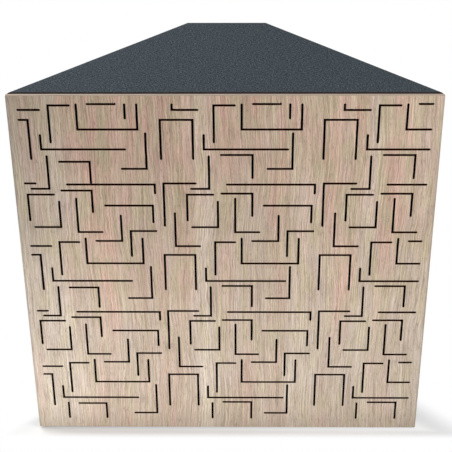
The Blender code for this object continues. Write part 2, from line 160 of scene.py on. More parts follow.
@dataclass(frozen=True)
class WedgeSizes:
    """The cloth-covered wedge: its depth, its half widths at both ends and its height."""

    front_y: float
    back_y: float
    front_half: float
    back_half: float
    low_z: float
    high_z: float

    @classmethod
    def read(cls, nodes: Nodes) -> "WedgeSizes":
        """Read the wedge from the top cover, whose plan is the whole wedge's.

        Args:
            nodes: The frame's nodes.

        Returns:
            The sizes.
        """
        low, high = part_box("cover_top")
        base_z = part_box("cover_bottom")[0].z
        return cls(low.y, high.y, high.x, rear_half("cover_top", nodes), base_z, high.z)

    @property
    def run(self) -> float:
        """How far a side wall comes in for each metre of depth."""
        return (self.front_half - self.back_half) / (self.back_y - self.front_y)

    @property
    def wall_normal(self) -> Vector:
        """The right wall's outward normal."""
        return Vector((1.0, self.run, 0.0)).normalized()

    def half_at(self, y: float, inset: float) -> float:
        """Give the half width at a depth, inside both walls by an inset."""
        return self.front_half - (y - self.front_y) * self.run - inset / self.wall_normal.x

    def corners(self, ends: tuple[float, float], inset: float, z: float, side: float) -> list[Vector]:
        """Give the four corners of a smaller wedge inside this one.

        Args:
            ends: Its front and its rear, along Y.
            inset: How far inside the walls it stays.
            z: Its height.
            side: 1 to start at the left and go to the right, -1 for the other way.

        Returns:
            The corners in order round it, the two at the front first.
        """
        front, rear = ends
        near, far = side * self.half_at(front, inset), side * self.half_at(rear, inset)
        spots = ((-near, front), (near, front), (far, rear), (-far, rear))
        return [Vector((x, y, z)) for x, y in spots]


@dataclass(frozen=True)
class Pattern:
    """A noise pattern, which averages one half.

    Attributes:
        density: Marks in a metre, along each axis.
        move: How far the pattern is shifted, in marks.
        detail: Octaves.
        roughness: Strength of the finer octaves.
        stir: How far it is distorted.
        turn: Its rotation, in radians.
    """

    density: Triple
    move: Triple = (0.0, 0.0, 0.0)
    detail: float = 2.0
    roughness: float = 0.5
    stir: float = 0.0
    turn: Triple = (0.0, 0.0, 0.0)

    @classmethod
    def upright(cls, width: float, length: float, move: float, detail: float = 2.0) -> "Pattern":
        """Describe long thin upright marks, by a mark's width and length and the pattern's shift."""
        lift = 1.7 * move
        return cls((1 / width, 1.0, 1 / length), (move, 0.0, lift), detail, roughness=0.6)


@dataclass(frozen=True)
class Ramp:
    """A smooth rise from nothing at its start to a share at its end."""

    start: float
    end: float
    share: float = 1.0


@dataclass(frozen=True)
class Ripple:
    """Slight unevenness of a cloth: how far it goes each way, and its waves in one unit."""

    height: float
    across: float
    along: float
    seed: float

    def at(self, across: float, along: float) -> float:
        """Give the cloth's offset at a point."""
        return noise.noise(Vector((across * self.across, along * self.along, self.seed))) * self.height


@dataclass(frozen=True)
class Relief:
    """A surface's fine relief: the depth of its full height, and how strongly it shows."""

    depth: float
    strength: float


class NodeGraph:
    """A node tree that is built by short calls."""

    tree: bpy.types.NodeTree

    def feed(self, socket: Socket, value: object) -> None:
        """Link a socket, or set its constant.

        Args:
            socket: The input socket.
            value: Another node's output, or a constant.
        """
        if isinstance(value, Socket):
            self.tree.links.new(value, socket)
        else:
            socket.default_value = value

    def node(self, kind: str, inputs: dict[str | int, object] | None = None, **settings: object) -> Node:
        """Add a node, set its own properties and feed its inputs.

        Args:
            kind: The node's type name.
            inputs: Input name or number to another node's output or a constant.
            **settings: Properties to set on it.

        Returns:
            The node.
        """
        made = self.tree.nodes.new(kind)
        for key, value in settings.items():
            setattr(made, key, value)
        for key, value in (inputs or {}).items():
            self.feed(made.inputs[key], value)
        return made

    def maths(self, operation: str, *values: object, clamp: bool = False) -> Socket:
        """Add a sum on up to three numbers, by Blender's name of the operation."""
        inputs = dict(enumerate(values))
        return self.node("ShaderNodeMath", inputs, operation=operation, use_clamp=clamp).outputs["Value"]

    def times(self, first: object, second: object) -> Socket:
        """Multiply two values."""
        return self.maths("MULTIPLY", first, second)

    def minus(self, first: object, second: object) -> Socket:
        """Take the second value from the first."""
        return self.maths("SUBTRACT", first, second)

    def scaled(self, value: object, gain: object, offset: object, clamp: bool = False) -> Socket:
        """Multiply a value by a gain and add an offset."""
        return self.maths("MULTIPLY_ADD", value, gain, offset, clamp=clamp)

    def absolute(self, value: object) -> Socket:
        """Drop a value's sign."""
        return self.maths("ABSOLUTE", value)

    def largest(self, first: object, second: object) -> Socket:
        """Keep the larger of two values."""
        return self.maths("MAXIMUM", first, second)

    def join(self, *parts: object) -> Socket:
        """Join three numbers into a vector."""
        return self.node("ShaderNodeCombineXYZ", dict(enumerate(parts))).outputs["Vector"]


class ShaderGraph(NodeGraph):
    """The nodes of one material or world."""

    def __init__(self, name: str, world: bool = False) -> None:
        """Start an empty material or world.

        Args:
            name: Its name.
            world: Whether it is a world.
        """
        maker, kind = (bpy.data.worlds, "World") if world else (bpy.data.materials, "Material")
        self.made = maker.new(name)
        self.made.use_nodes = True
        self.tree = self.made.node_tree
        self.tree.nodes.clear()
        self.output = self.node(f"ShaderNodeOutput{kind}")

    def object_point(self) -> Socket:
        """Give the point in the object's own coordinates."""
        return self.node("ShaderNodeTexCoord").outputs["Object"]

    def cut_point(self) -> Socket:
        """Give the point on the flat cut of a cloth piece, in metres."""
        return self.node("ShaderNodeUVMap", uv_map=CUT_MAP).outputs["UV"]

    def split(self, point: Socket) -> tuple[Socket, Socket, Socket]:
        """Split a vector into its three parts."""
        made = self.node("ShaderNodeSeparateXYZ", {"Vector": point})
        return made.outputs["X"], made.outputs["Y"], made.outputs["Z"]

    def seen_directly(self) -> Socket:
        """Tell the rays that come from the camera, a mirror or glass.

        Returns:
            1 for such a ray, 0 for the others.
        """
        path = self.node("ShaderNodeLightPath").outputs
        share = self.largest(path["Is Camera Ray"], path["Is Glossy Ray"])
        return self.largest(share, path["Is Transmission Ray"])

    def pattern(self, point: Socket, pattern: Pattern) -> Socket:
        """Add a noise pattern.

        Args:
            point: The point.
            pattern: What the pattern is like.

        Returns:
            Its value, from 0 to 1.
        """
        mapping = self.node("ShaderNodeMapping", {
            "Vector": point, "Scale": pattern.density, "Location": pattern.move, "Rotation": pattern.turn,
        })
        made = self.node("ShaderNodeTexNoise", {
            "Vector": mapping.outputs["Vector"], "Scale": 1.0, "Detail": pattern.detail,
            "Roughness": pattern.roughness, "Distortion": pattern.stir,
        })
        return made.outputs["Fac"]

    def swing(self, point: Socket, pattern: Pattern, amount: float) -> Socket:
        """Give a gain that a pattern swings round 1, by an amount from its least to its most."""
        return self.scaled(self.pattern(point, pattern), amount, 1.0 - amount / 2)

    def ramp(self, value: Socket, ramp: Ramp, origin: float = 0.0, unit: float = 1.0) -> Socket:
        """Ramp a value, with a smooth start and end.

        Args:
            value: The value.
            ramp: Where the ramp starts and ends, and its share.
            origin: Where the ramp's places are measured from.
            unit: What they are measured in.

        Returns:
            The result, from 0 to the share.
        """
        places = {"From Min": origin + ramp.start * unit, "From Max": origin + ramp.end * unit}
        made = self.node(
            "ShaderNodeMapRange", {"Value": value, **places}, interpolation_type="SMOOTHSTEP", clamp=True,
        )
        result = made.outputs["Result"]
        return result if ramp.share == 1.0 else self.times(result, ramp.share)

    def weave(self, point: Socket, pitch: float) -> Socket:
        """Cross two sets of yarns: above 0 where one set lies on top, below 0 where the other does."""
        yarns = [self.maths("SINE", self.times(way, math.tau / pitch)) for way in self.split(point)[:2]]
        return self.times(*yarns)

    def mix(self, share: object, first: object, second: object, blend: str = "MIX") -> Socket:
        """Mix two colours.

        Args:
            share: How much of the second colour.
            first: First colour.
            second: Second colour.
            blend: Blender's name of the blend.

        Returns:
            The mixed colour.
        """
        made = self.node(
            "ShaderNodeMix", {"Factor": share, MIX_FIRST: first, MIX_SECOND: second},
            data_type="RGBA", blend_type=blend, clamp_factor=True,
        )
        return made.outputs[MIX_RESULT]

    def blend(self, share: object, first: Node, second: Node) -> Node:
        """Blend two shaders, by the second one's share."""
        return self.node("ShaderNodeMixShader", {0: share, 1: first.outputs[0], 2: second.outputs[0]})

    def close(self, shader: Node) -> None:
        """Give the material or world its shader."""
        self.feed(self.output.inputs["Surface"], shader.outputs[0])

    def finish(
        self, colour: Socket, roughness: object, height: Socket, relief: Relief,
        specular: object = 0.5, metallic: float = 0.0,
    ) -> Material:
        """Close the material with a Principled shader.

        Args:
            colour: Its colour.
            roughness: Its roughness.
            height: The height of its surface, 0 to 1.
            relief: How deep that goes.
            specular: The strength of its reflection.
            metallic: 1 for a metal.

        Returns:
            The material.
        """
        bump = self.node(
            "ShaderNodeBump", {"Height": height, "Distance": relief.depth, "Strength": relief.strength},
        )
        self.close(self.node("ShaderNodeBsdfPrincipled", {
            "Base Color": colour, "Roughness": roughness, "Normal": bump.outputs["Normal"],
            "Specular IOR Level": specular, "Metallic": metallic,
        }))
        return self.made


@dataclass(frozen=True)
class TimberBand:
    """An upright band of the veneer, lighter or darker and rosier or greyer than its neighbours.

    Its middle is measured from the plate's left edge, the gain multiplies the tone, and a rose
    below 0 is greyer.
    """

    middle: float
    width: float
    gain: float
    rose: float


@dataclass(frozen=True)
class OakVeneer:
    """Pale oak veneer with wavy upright grain, charred slot walls and a bare outer edge."""

    plate: PlateSizes
    beige: Colour = shade(195, 177, 162)
    rose: Colour = shade(207, 172, 155)
    olive: Colour = shade(192, 176, 149)
    pore: Colour = shade(103, 87, 70)
    char: Colour = shade(54, 21, 7)
    edge: Colour = shade(168, 152, 137)
    grey: Colour = shade(150, 142, 132)
    # A paler tone, painted over the lower half as light thrown up by the floor
    painted_lower_light: Colour = shade(201, 190, 177)
    bands: tuple[TimberBand, ...] = (
        TimberBand(48 * MM, 50 * MM, 1.05, -0.30),
        TimberBand(125 * MM, 80 * MM, 0.965, 0.42),
        TimberBand(205 * MM, 84 * MM, 0.92, 0.20),
        TimberBand(244 * MM, 26 * MM, 1.0, 0.24),
        TimberBand(272 * MM, 20 * MM, 1.13, -0.34),
        TimberBand(345 * MM, 110 * MM, 0.95, 0.12),
        TimberBand(415 * MM, 26 * MM, 1.06, -0.16),
        TimberBand(468 * MM, 56 * MM, 1.0, 0.30),
        TimberBand(518 * MM, 24 * MM, 1.08, -0.24),
        TimberBand(556 * MM, 22 * MM, 1.0, 0.30),
        TimberBand(594 * MM, 36 * MM, 1.0, -0.20),
    )
    # Where a band has gone and where it is whole, in its widths, and how its edges waver
    band_edge: Ramp = Ramp(0.62, 0.38)
    waver: Pattern = Pattern((20.0, 1.0, 6.0))
    waver_reach: float = 14 * MM
    # How far the grain sways sideways, in slow bends and in short waves
    wander: Pattern = Pattern((7.0, 1.0, 3.2), detail=1.0)
    wander_reach: float = 34 * MM
    wave: Pattern = Pattern((24.0, 1.0, 42.0), (4.0, 0.0, 9.0), 1.0)
    wave_reach: float = 4.5 * MM
    # Broad changes of lightness and hue
    flame: Pattern = Pattern((45.0, 1.0, 4.5), (2.0, 0.0, 6.0))
    flame_swing: float = 0.34
    hue: Pattern = Pattern((34.0, 1.0, 4.0), roughness=0.4)
    hue_gain: float = 2.5
    hue_level: float = 1.13
    olive_marks: Pattern = Pattern((48.0, 1.0, 13.0), (5.0, 0.0, 3.0), 3.0, 0.6)
    to_olive: Ramp = Ramp(0.38, 0.68)
    # Painted shade and light by height, in plate heights from its middle: rosier towards the top, where it
    # stands for shade, and paler in the lower half, where it stands for light thrown up by the floor
    upper: Ramp = Ramp(-0.1, 0.45)
    shaded_top_rose: float = 0.45
    to_painted_lower_light: Ramp = Ramp(0.0, -0.28, 0.30)
    # The greyer and lighter left margin
    margin: Ramp = Ramp(80 * MM, 10 * MM)
    margin_grey: float = 0.25
    margin_gain: float = 0.04
    # The streaks, dashes and flecks of the fibre, each with the swing that it gives the tone
    fibres: tuple[tuple[Pattern, float], ...] = (
        (Pattern.upright(1.9 * MM, 170 * MM, 0.0), 1.15),
        (Pattern.upright(1.5 * MM, 32 * MM, 3.3), 0.85),
        (Pattern.upright(1.4 * MM, 4.5 * MM, 6.7, 1.0), 0.4),
    )
    # Dark veins along the pattern's middle level
    vein: Pattern = Pattern.upright(3.4 * MM, 110 * MM, 4.4, 1.0)
    vein_width: Ramp = Ramp(0.0, 0.06)
    vein_depth: float = 0.28
    vein_floor: float = 0.795
    # Darker marks are browner: the powers of the gain in red and in blue
    red_power: float = 0.86
    blue_power: float = 1.1
    # Open pores, which gather in the growth rings
    pores: Pattern = Pattern.upright(1.1 * MM, 12 * MM, 5.9)
    pored: Ramp = Ramp(0.56, 0.67)
    rings: Pattern = Pattern.upright(7 * MM, 260 * MM, 8.1, 1.0)
    ringed: Ramp = Ramp(0.34, 0.56)
    pore_share: float = 0.5
    # Painted shade along the side arrises and towards the foot, and the bare edge with its layers
    wear_and_edge_shade: Ramp = Ramp(4.0 * MM, 1.0 * MM, 0.45)
    foot_shade: Ramp = Ramp(50 * MM, 0.0, 0.22)
    facing: Ramp = Ramp(0.75, 0.92)
    within: Ramp = Ramp(1 * MM, 3 * MM)
    layers: Pattern = Pattern((20.0, 900.0, 20.0), detail=1.0)
    layered: Ramp = Ramp(0.45, 0.6, 0.25)
    roughness: float = 0.55
    specular: float = 0.3
    relief: Relief = Relief(0.06 * MM, 0.6)

    def swayed(self, graph: ShaderGraph, flat: Socket, across: Socket, up: Socket) -> Socket:
        """Sway the point sideways, so that the grain wanders as it rises.

        Args:
            graph: The material's graph.
            flat: The point on the plate's face.
            across: Distance across the plate.
            up: Height.

        Returns:
            The swayed point.
        """
        for pattern, reach in ((self.wander, self.wander_reach), (self.wave, self.wave_reach)):
            across = graph.scaled(graph.pattern(flat, pattern), reach, across)
        return graph.join(across, 0.0, up)

    def banded(self, graph: ShaderGraph, flat: Socket, across: Socket) -> tuple[Socket, Socket]:
        """Give the tone's gain and rosiness from the named bands, with edges that waver.

        Args:
            graph: The material's graph.
            flat: The point on the plate's face.
            across: Distance across the plate.

        Returns:
            The gain and the rosiness.
        """
        from_left = graph.maths("ADD", across, self.plate.half_width - self.waver_reach / 2)
        place = graph.scaled(graph.pattern(flat, self.waver), self.waver_reach, from_left)
        gain: object = 1.0
        rose: object = 0.0
        for band in self.bands:
            offset = graph.absolute(graph.minus(place, band.middle))
            share = graph.ramp(offset, self.band_edge, unit=band.width)
            gain = graph.times(gain, graph.scaled(share, band.gain - 1.0, 1.0))
            rose = graph.scaled(share, band.rose, rose)
        return gain, rose

    def face_colour(self, graph: ShaderGraph, across: Socket, up: Socket) -> tuple[Socket, Socket]:
        """Colour the veneer's face.

        Args:
            graph: The material's graph.
            across: Distance across the plate.
            up: Height.

        Returns:
            The colour, and the pores as 0 to 1.
        """
        middle, height = self.plate.middle_z, self.plate.height
        flat = graph.join(across, 0.0, up)
        point = self.swayed(graph, flat, across, up)
        gain, rose = self.banded(graph, flat, across)
        gain = graph.times(gain, graph.swing(point, self.flame, self.flame_swing))
        rose = graph.scaled(graph.pattern(point, self.hue), self.hue_gain, rose)
        # Painted shade: rosier towards the top
        rose = graph.scaled(graph.ramp(up, self.upper, middle, height), self.shaded_top_rose, rose)
        rose = graph.maths("SUBTRACT", rose, self.hue_level, clamp=True)
        tone = graph.mix(rose, self.beige, self.rose)
        tone = graph.mix(graph.ramp(graph.pattern(point, self.olive_marks), self.to_olive), tone, self.olive)
        # Painted light: paler towards the bottom
        tone = graph.mix(graph.ramp(up, self.to_painted_lower_light, middle, height), tone, self.painted_lower_light)
        margin = graph.ramp(across, self.margin, -self.plate.half_width)
        tone = graph.mix(graph.times(margin, self.margin_grey), tone, self.grey)
        gain = graph.times(gain, graph.scaled(margin, self.margin_gain, 1.0))

        for pattern, swing in self.fibres:
            gain = graph.times(gain, graph.swing(point, pattern, swing))
        vein = graph.ramp(graph.absolute(graph.minus(graph.pattern(point, self.vein), 0.5)), self.vein_width)
        gain = graph.times(gain, graph.scaled(vein, self.vein_depth, self.vein_floor))
        red, blue = (graph.maths("POWER", gain, power) for power in (self.red_power, self.blue_power))
        tone = graph.mix(1.0, tone, graph.join(red, gain, blue), "MULTIPLY")

        ring = graph.ramp(graph.pattern(point, self.rings), self.ringed)
        pores = graph.times(graph.ramp(graph.pattern(point, self.pores), self.pored), ring)
        return graph.mix(graph.times(pores, self.pore_share), tone, self.pore), pores

    def material(self) -> Material:
        """Build the finish, with the face, the slots' walls and the outer edge told apart.

        Returns:
            The material.
        """
        graph = ShaderGraph("oak_veneer")
        plate = self.plate
        point = graph.object_point()
        across, _, up = graph.split(point)
        tone, pores = self.face_colour(graph, across, up)
        side = graph.minus(plate.half_width, graph.absolute(across))
        end = graph.minus(plate.height / 2, graph.absolute(graph.minus(up, plate.middle_z)))
        foot = graph.minus(up, plate.middle_z - plate.height / 2)
        # Painted shade: greyer along the side arrises
        tone = graph.mix(graph.ramp(side, self.wear_and_edge_shade), tone, self.grey)
        # Painted shade: darker towards the foot, near the floor
        tone = graph.mix(graph.ramp(foot, self.foot_shade), tone, self.pore)

        turned = graph.split(graph.node("ShaderNodeNewGeometry").outputs["Normal"])[1]
        face = graph.ramp(graph.absolute(turned), self.facing)
        within = graph.ramp(graph.maths("MINIMUM", side, end), self.within)
        bare = graph.mix(graph.ramp(graph.pattern(point, self.layers), self.layered), self.edge, self.pore)
        colour = graph.mix(face, graph.mix(within, bare, self.char), tone)
        shine = graph.times(graph.largest(face, graph.minus(1.0, within)), self.specular)
        return graph.finish(colour, self.roughness, graph.minus(1.0, pores), self.relief, shine)


@dataclass(frozen=True)
class MelangeCloth:
    """Slate grey melange cloth: a close plain weave with lighter and darker flecks."""

    slate: Colour = shade(56, 64, 70)
    pale: Colour = shade(118, 127, 134)
    dark: Colour = shade(18, 21, 25)
    # Painted shade: a brownish dark in the seams and in the groove behind the plate
    crease: Colour = shade(44, 28, 26)
    crease_shade_share: float = 0.9
    yarn_pitch: float = 0.9 * MM
    on_top: Ramp = Ramp(-0.2, 0.2)
    fleck: float = 2.2 * MM
    warp: Pattern = Pattern((1.6 / fleck, 0.7 / fleck, 1.0), roughness=0.6)
    weft: Pattern = Pattern((0.7 / fleck, 1.6 / fleck, 1.0), (7.0, 3.0, 0.0), roughness=0.6)
    to_pale: Ramp = Ramp(0.5, 0.72)
    to_dark: Ramp = Ramp(0.5, 0.28)
    cloud: Pattern = Pattern((55.0, 55.0, 1.0))
    cloud_swing: float = 0.16
    fuzz: Pattern = Pattern((2600.0, 2600.0, 1.0))
    fuzz_height: float = 0.5
    roughness: float = 0.95
    specular: float = 0.08
    relief: Relief = Relief(0.15 * MM, 0.6)

    def material(self) -> Material:
        """Build the finish, which reads the cloth's flat cut and the painted shade of its seams.

        Returns:
            The material.
        """
        graph = ShaderGraph("melange_cloth")
        point = graph.cut_point()
        weave = graph.weave(point, self.yarn_pitch)
        over = graph.ramp(weave, self.on_top)
        yarn = graph.times(over, graph.pattern(point, self.warp))
        yarn = graph.scaled(graph.minus(1.0, over), graph.pattern(point, self.weft), yarn)
        tone = graph.mix(graph.ramp(yarn, self.to_pale), self.slate, self.pale)
        tone = graph.mix(graph.ramp(yarn, self.to_dark), tone, self.dark)
        gain = graph.swing(point, self.cloud, self.cloud_swing)
        tone = graph.mix(1.0, tone, graph.join(gain, gain, gain), "MULTIPLY")
        # Painted shade in the seams and the groove behind the plate, by the vertex attribute
        crease = graph.node("ShaderNodeAttribute", attribute_name=CREASE_SHADE).outputs["Fac"]
        tone = graph.mix(graph.times(crease, self.crease_shade_share), tone, self.crease)
        height = graph.scaled(graph.pattern(point, self.fuzz), self.fuzz_height, graph.absolute(weave))
        return graph.finish(tone, self.roughness, height, self.relief, self.specular)


@dataclass(frozen=True)
class AcousticCloth:
    """Thin black cloth of an open weave, as behind a plate or under a base."""

    black: Colour = shade(10, 8, 8)
    lint: Colour = shade(24, 22, 21)
    yarn_pitch: float = 1.2 * MM
    lint_marks: Pattern = Pattern((300.0, 300.0, 1.0), detail=4.0, roughness=0.7)
    to_lint: Ramp = Ramp(0.55, 0.8)
    roughness: float = 0.96
    specular: float = 0.15
    relief: Relief = Relief(0.15 * MM, 0.8)

    def material(self) -> Material:
        """Build the finish, which reads the cloth's flat cut.

        Returns:
            The material.
        """
        graph = ShaderGraph("black_cloth")
        point = graph.cut_point()
        height = graph.scaled(graph.weave(point, self.yarn_pitch), 0.5, 0.5)
        share = graph.ramp(graph.pattern(point, self.lint_marks), self.to_lint)
        tone = graph.mix(share, self.black, self.lint)
        return graph.finish(tone, self.roughness, height, self.relief, self.specular)


@dataclass(frozen=True)
class StainedWood:
    """Softwood or board, stained black so that nothing pale shows through the slots.

    The cross and along fields are the grain's marks in a metre across it and along it, and the
    bands where the stain is thin are band_width times as wide.
    """

    stain: Colour = shade(40, 36, 34)
    worn: Colour = shade(66, 56, 49)
    cross: float = 260.0
    along: float = 9.0
    grain: Pattern = Pattern((1.0, 1.0, 1.0), detail=4.0, roughness=0.62, stir=0.4)
    band: Pattern = Pattern((1.0, 1.0, 1.0))
    band_width: float = 6.0
    to_worn: Ramp = Ramp(0.45, 0.75)
    banded: Ramp = Ramp(0.3, 0.7)
    smoothest: float = 0.6
    rough_swing: float = 0.25
    relief: Relief = Relief(0.15 * MM, 0.6)

    def material(self, axis: GrainAxis) -> Material:
        """Build the finish.

        Args:
            axis: The way that the grain runs.

        Returns:
            The material.
        """
        graph = ShaderGraph(f"stained_wood_{axis.name.lower()}")
        point = graph.object_point()
        dense = tuple(self.along if way is axis else self.cross for way in GrainAxis)
        coarse = tuple(value / self.band_width for value in dense)
        grain = graph.pattern(point, replace(self.grain, density=dense))
        band = graph.ramp(graph.pattern(point, replace(self.band, density=coarse)), self.banded)
        tone = graph.mix(graph.times(graph.ramp(grain, self.to_worn), band), self.stain, self.worn)
        roughness = graph.scaled(grain, self.rough_swing, self.smoothest)
        return graph.finish(tone, roughness, grain, self.relief)


@dataclass(frozen=True)
class PressedFibre:
    """A pressed slab of grey-brown fibre, laid in thin sheets."""

    fibre: Colour = shade(112, 108, 98)
    shadow: Colour = shade(70, 68, 62)
    fleck: Colour = shade(150, 146, 134)
    mat: Pattern = Pattern((220.0, 900.0, 220.0), detail=5.0, roughness=0.7, stir=1.2)
    to_fibre: Ramp = Ramp(0.35, 0.65)
    strands: Pattern = Pattern((900.0, 900.0, 160.0), detail=3.0, turn=(0.0, 0.4, 0.2))
    to_fleck: Ramp = Ramp(0.6, 0.75)
    roughness: float = 0.98
    specular: float = 0.1
    relief: Relief = Relief(0.8 * MM, 0.9)

    def material(self) -> Material:
        """Build the finish.

        Returns:
            The material.
        """
        graph = ShaderGraph("pressed_fibre")
        point = graph.object_point()
        mat, strand = graph.pattern(point, self.mat), graph.pattern(point, self.strands)
        tone = graph.mix(graph.ramp(mat, self.to_fibre), self.shadow, self.fibre)
        tone = graph.mix(graph.ramp(strand, self.to_fleck), tone, self.fleck)
        height = graph.maths("ADD", mat, strand)
        return graph.finish(tone, self.roughness, height, self.relief, self.specular)


@dataclass(frozen=True)
class ZincPlate:
    """Bright zinc on steel, a little clouded."""

    zinc: Colour = shade(176, 178, 182)
    cloud: Colour = shade(146, 146, 142)
    clouds: Pattern = Pattern((500.0, 500.0, 500.0), detail=3.0, roughness=0.6)
    to_cloud: Ramp = Ramp(0.4, 0.7)
    scratches: Pattern = Pattern((3000.0, 3000.0, 300.0))
    smoothest: float = 0.2
    rough_swing: float = 0.3
    relief: Relief = Relief(0.02 * MM, 0.4)

    def material(self) -> Material:
        """Build the finish.

        Returns:
            The material.
        """
        graph = ShaderGraph("zinc_plate")
        point = graph.object_point()
        cloud, scratch = graph.pattern(point, self.clouds), graph.pattern(point, self.scratches)
        tone = graph.mix(graph.ramp(cloud, self.to_cloud), self.zinc, self.cloud)
        roughness = graph.scaled(cloud, self.rough_swing, self.smoothest)
        return graph.finish(tone, roughness, scratch, self.relief, metallic=1.0)


@dataclass(frozen=True)
class MouldedPlastic:
    """Black moulded plastic with a fine spark-eroded grain, scuffed where it slides."""

    body: Colour = shade(26, 26, 27)
    scuff: Colour = shade(64, 63, 61)
    spark: Pattern = Pattern((2400.0, 2400.0, 2400.0))
    rubs: Pattern = Pattern((260.0, 900.0, 260.0), detail=3.0, roughness=0.7)
    wear_and_edge_shade: Ramp = Ramp(0.5, 0.7)
    sole: Ramp = Ramp(0.6 * MM, 0.1 * MM)
    smoothest: float = 0.38
    rough_swing: float = 0.2
    relief: Relief = Relief(0.03 * MM, 0.6)

    def material(self) -> Material:
        """Build the finish.

        Returns:
            The material.
        """
        graph = ShaderGraph("moulded_plastic")
        point = graph.object_point()
        spark = graph.pattern(point, self.spark)
        sole = graph.ramp(graph.split(point)[2], self.sole)
        share = graph.times(sole, graph.ramp(graph.pattern(point, self.rubs), self.wear_and_edge_shade))
        roughness = graph.scaled(spark, self.rough_swing, self.smoothest)
        return graph.finish(graph.mix(share, self.body, self.scuff), roughness, spark, self.relief)


def link_mesh(name: str, builder: bmesh.types.BMesh) -> Piece:
    """Turn a bmesh into an object in the scene.

    Args:
        name: The object's name.
        builder: The bmesh, which is freed.

    Returns:
        The object.
    """
    mesh = bpy.data.meshes.new(name)
    builder.to_mesh(mesh)
    builder.free()
    made = bpy.data.objects.new(name, mesh)
    bpy.context.scene.collection.objects.link(made)
    return made


def settle(piece: Piece) -> None:
    """Turn a piece's live modifiers into its plain mesh, and drop them.

    Args:
        piece: The piece.
    """
    depsgraph = bpy.context.evaluated_depsgraph_get()
    mesh = bpy.data.meshes.new_from_object(
        piece.evaluated_get(depsgraph), preserve_all_data_layers=True, depsgraph=depsgraph,
    )
    mesh.name = piece.name
    piece.modifiers.clear()
    piece.data = mesh


def join_frame(piece: Piece, slot: str, *nodes: str) -> Piece:
    """Ride a piece on the object, and let it stand for its nodes.

    Args:
        piece: The piece.
        slot: Not used.
        *nodes: The CAD nodes that it replaces.

    Returns:
        The piece.
    """
    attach(piece, BODY)
    if nodes:
        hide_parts(*nodes)
    count = len(piece.data.polygons)
    LOG.info("%s: %d faces, stands for %s", piece.name, count, ", ".join(nodes) or "nothing")
    return piece


def dress_node(node: Piece, material: Material) -> None:
    """Give a CAD node its finish.

    Args:
        node: The node.
        material: The finish.
    """
    node.data.materials.clear()
    node.data.materials.append(material)
    LOG.info("%s: wears %s", node.name, material.name)


def graded(length: float, fine: Sequence[float], step: float) -> list[float]:
    """Space points along a length: close together at both ends, even between.

    Args:
        length: The length.
        fine: Distances from each end that get a point, starting with 0.
        step: The widest spacing between.

    Returns:
        Shares of the length, from 0 to 1.
    """
    start, end = fine[-1], length - fine[-1]
    count = max(1, math.ceil((end - start) / step))
    middle = [start + (end - start) * index / count for index in range(1, count)]
    places = list(fine) + middle + [length - distance for distance in reversed(fine)]
    return [place / length for place in places]


@dataclass(frozen=True)
class SeamRoll:
    """How cloth turns at the edge of a panel, towards a seam.

    Attributes:
        radius: The radius that the cloth turns with.
        turn: The angle that it turns by before the seam, in radians.
        dip: How far the seam allowance dives below the turn's end.
        dip_width: The width of that dive.
        shadow: The width of the painted shade along the seam.
        shadow_edge: How many times its full dark the painted shade would reach at the seam.
    """

    radius: float = 1.2 * MM
    turn: float = math.radians(20.0)
    dip: float = 0.7 * MM
    dip_width: float = 0.4 * MM
    shadow: float = 0.8 * MM
    shadow_edge: float = 1.5

    @property
    def inset(self) -> float:
        """How far the seam lies inside the sharp corner of the two faces."""
        return self.radius * (math.tan(self.turn) - math.sin(self.turn))

    def drop(self, distance: float) -> float:
        """Give the cloth's depth below its face.

        Args:
            distance: Distance in from the seam.

        Returns:
            The depth.
        """
        depth = 0.0
        reach = self.radius * math.sin(self.turn)
        if distance < reach:
            depth = self.radius - math.sqrt(self.radius**2 - (reach - max(distance, 0.0)) ** 2)
        if distance < self.dip_width:
            depth += self.dip * (1.0 - max(distance, 0.0) / self.dip_width) ** 2
        return depth

    def crease(self, distance: float) -> float:
        """Give a point's share of the painted shade at the seam: 1 at the seam, 0 where that shade ends."""
        return max(0.0, min(1.0, self.shadow_edge - self.shadow_edge * distance / self.shadow))


@dataclass
class ClothWork:
    """Pieces of one cloth that are stretched over the wedge, with meshes no coarser than the step."""

    wedge: WedgeSizes
    cloth: MelangeCloth | AcousticCloth
    slot: str
    thickness: float
    step: float

    @cached_property
    def material(self) -> Material:
        """The cloth's material, which is made once."""
        return self.cloth.material()

    def sheet(
        self, name: str, shape: tuple[int, int], place: GridPlace, cut: GridCut,
        crease: GridShare | None = None,
    ) -> Piece:
        """Make a sheet from a grid of places, with its flat cut as a UV map.

        Args:
            name: The piece's name.
            shape: Points up the sheet, and across it.
            place: Gives a point in space from its row and column.
            cut: Gives the point on the flat cut, in metres.
            crease: Gives the point's share of the painted seam shade.

        Returns:
            The sheet, not yet thick.
        """
        rows, columns = shape
        builder = bmesh.new()
        layer = builder.loops.layers.uv.new(CUT_MAP)
        depth = builder.verts.layers.float.new(CREASE_SHADE) if crease else None
        grid = [[builder.verts.new(place(row, column)) for column in range(columns)] for row in range(rows)]
        for row in range(rows if crease else 0):
            for column in range(columns):
                grid[row][column][depth] = crease(row, column)
        for row in range(rows - 1):
            for column in range(columns - 1):
                spots = [(row, column), (row, column + 1), (row + 1, column + 1), (row + 1, column)]
                face = builder.faces.new([grid[spot[0]][spot[1]] for spot in spots])
                for loop, spot in zip(face.loops, spots):
                    loop[layer].uv = cut(*spot)
        return link_mesh(name, builder)

    def dress(self, piece: Piece, node: str) -> None:
        """Give a sheet its thickness, shading and material, and let it stand for its node.

        Args:
            piece: The sheet.
            node: The CAD node's name.
        """
        piece.data.materials.append(self.material)
        piece.data.shade_smooth()
        solid = piece.modifiers.new("cloth", "SOLIDIFY")
        solid.thickness = self.thickness
        solid.offset = -1.0
        settle(piece)
        join_frame(piece, self.slot, node)


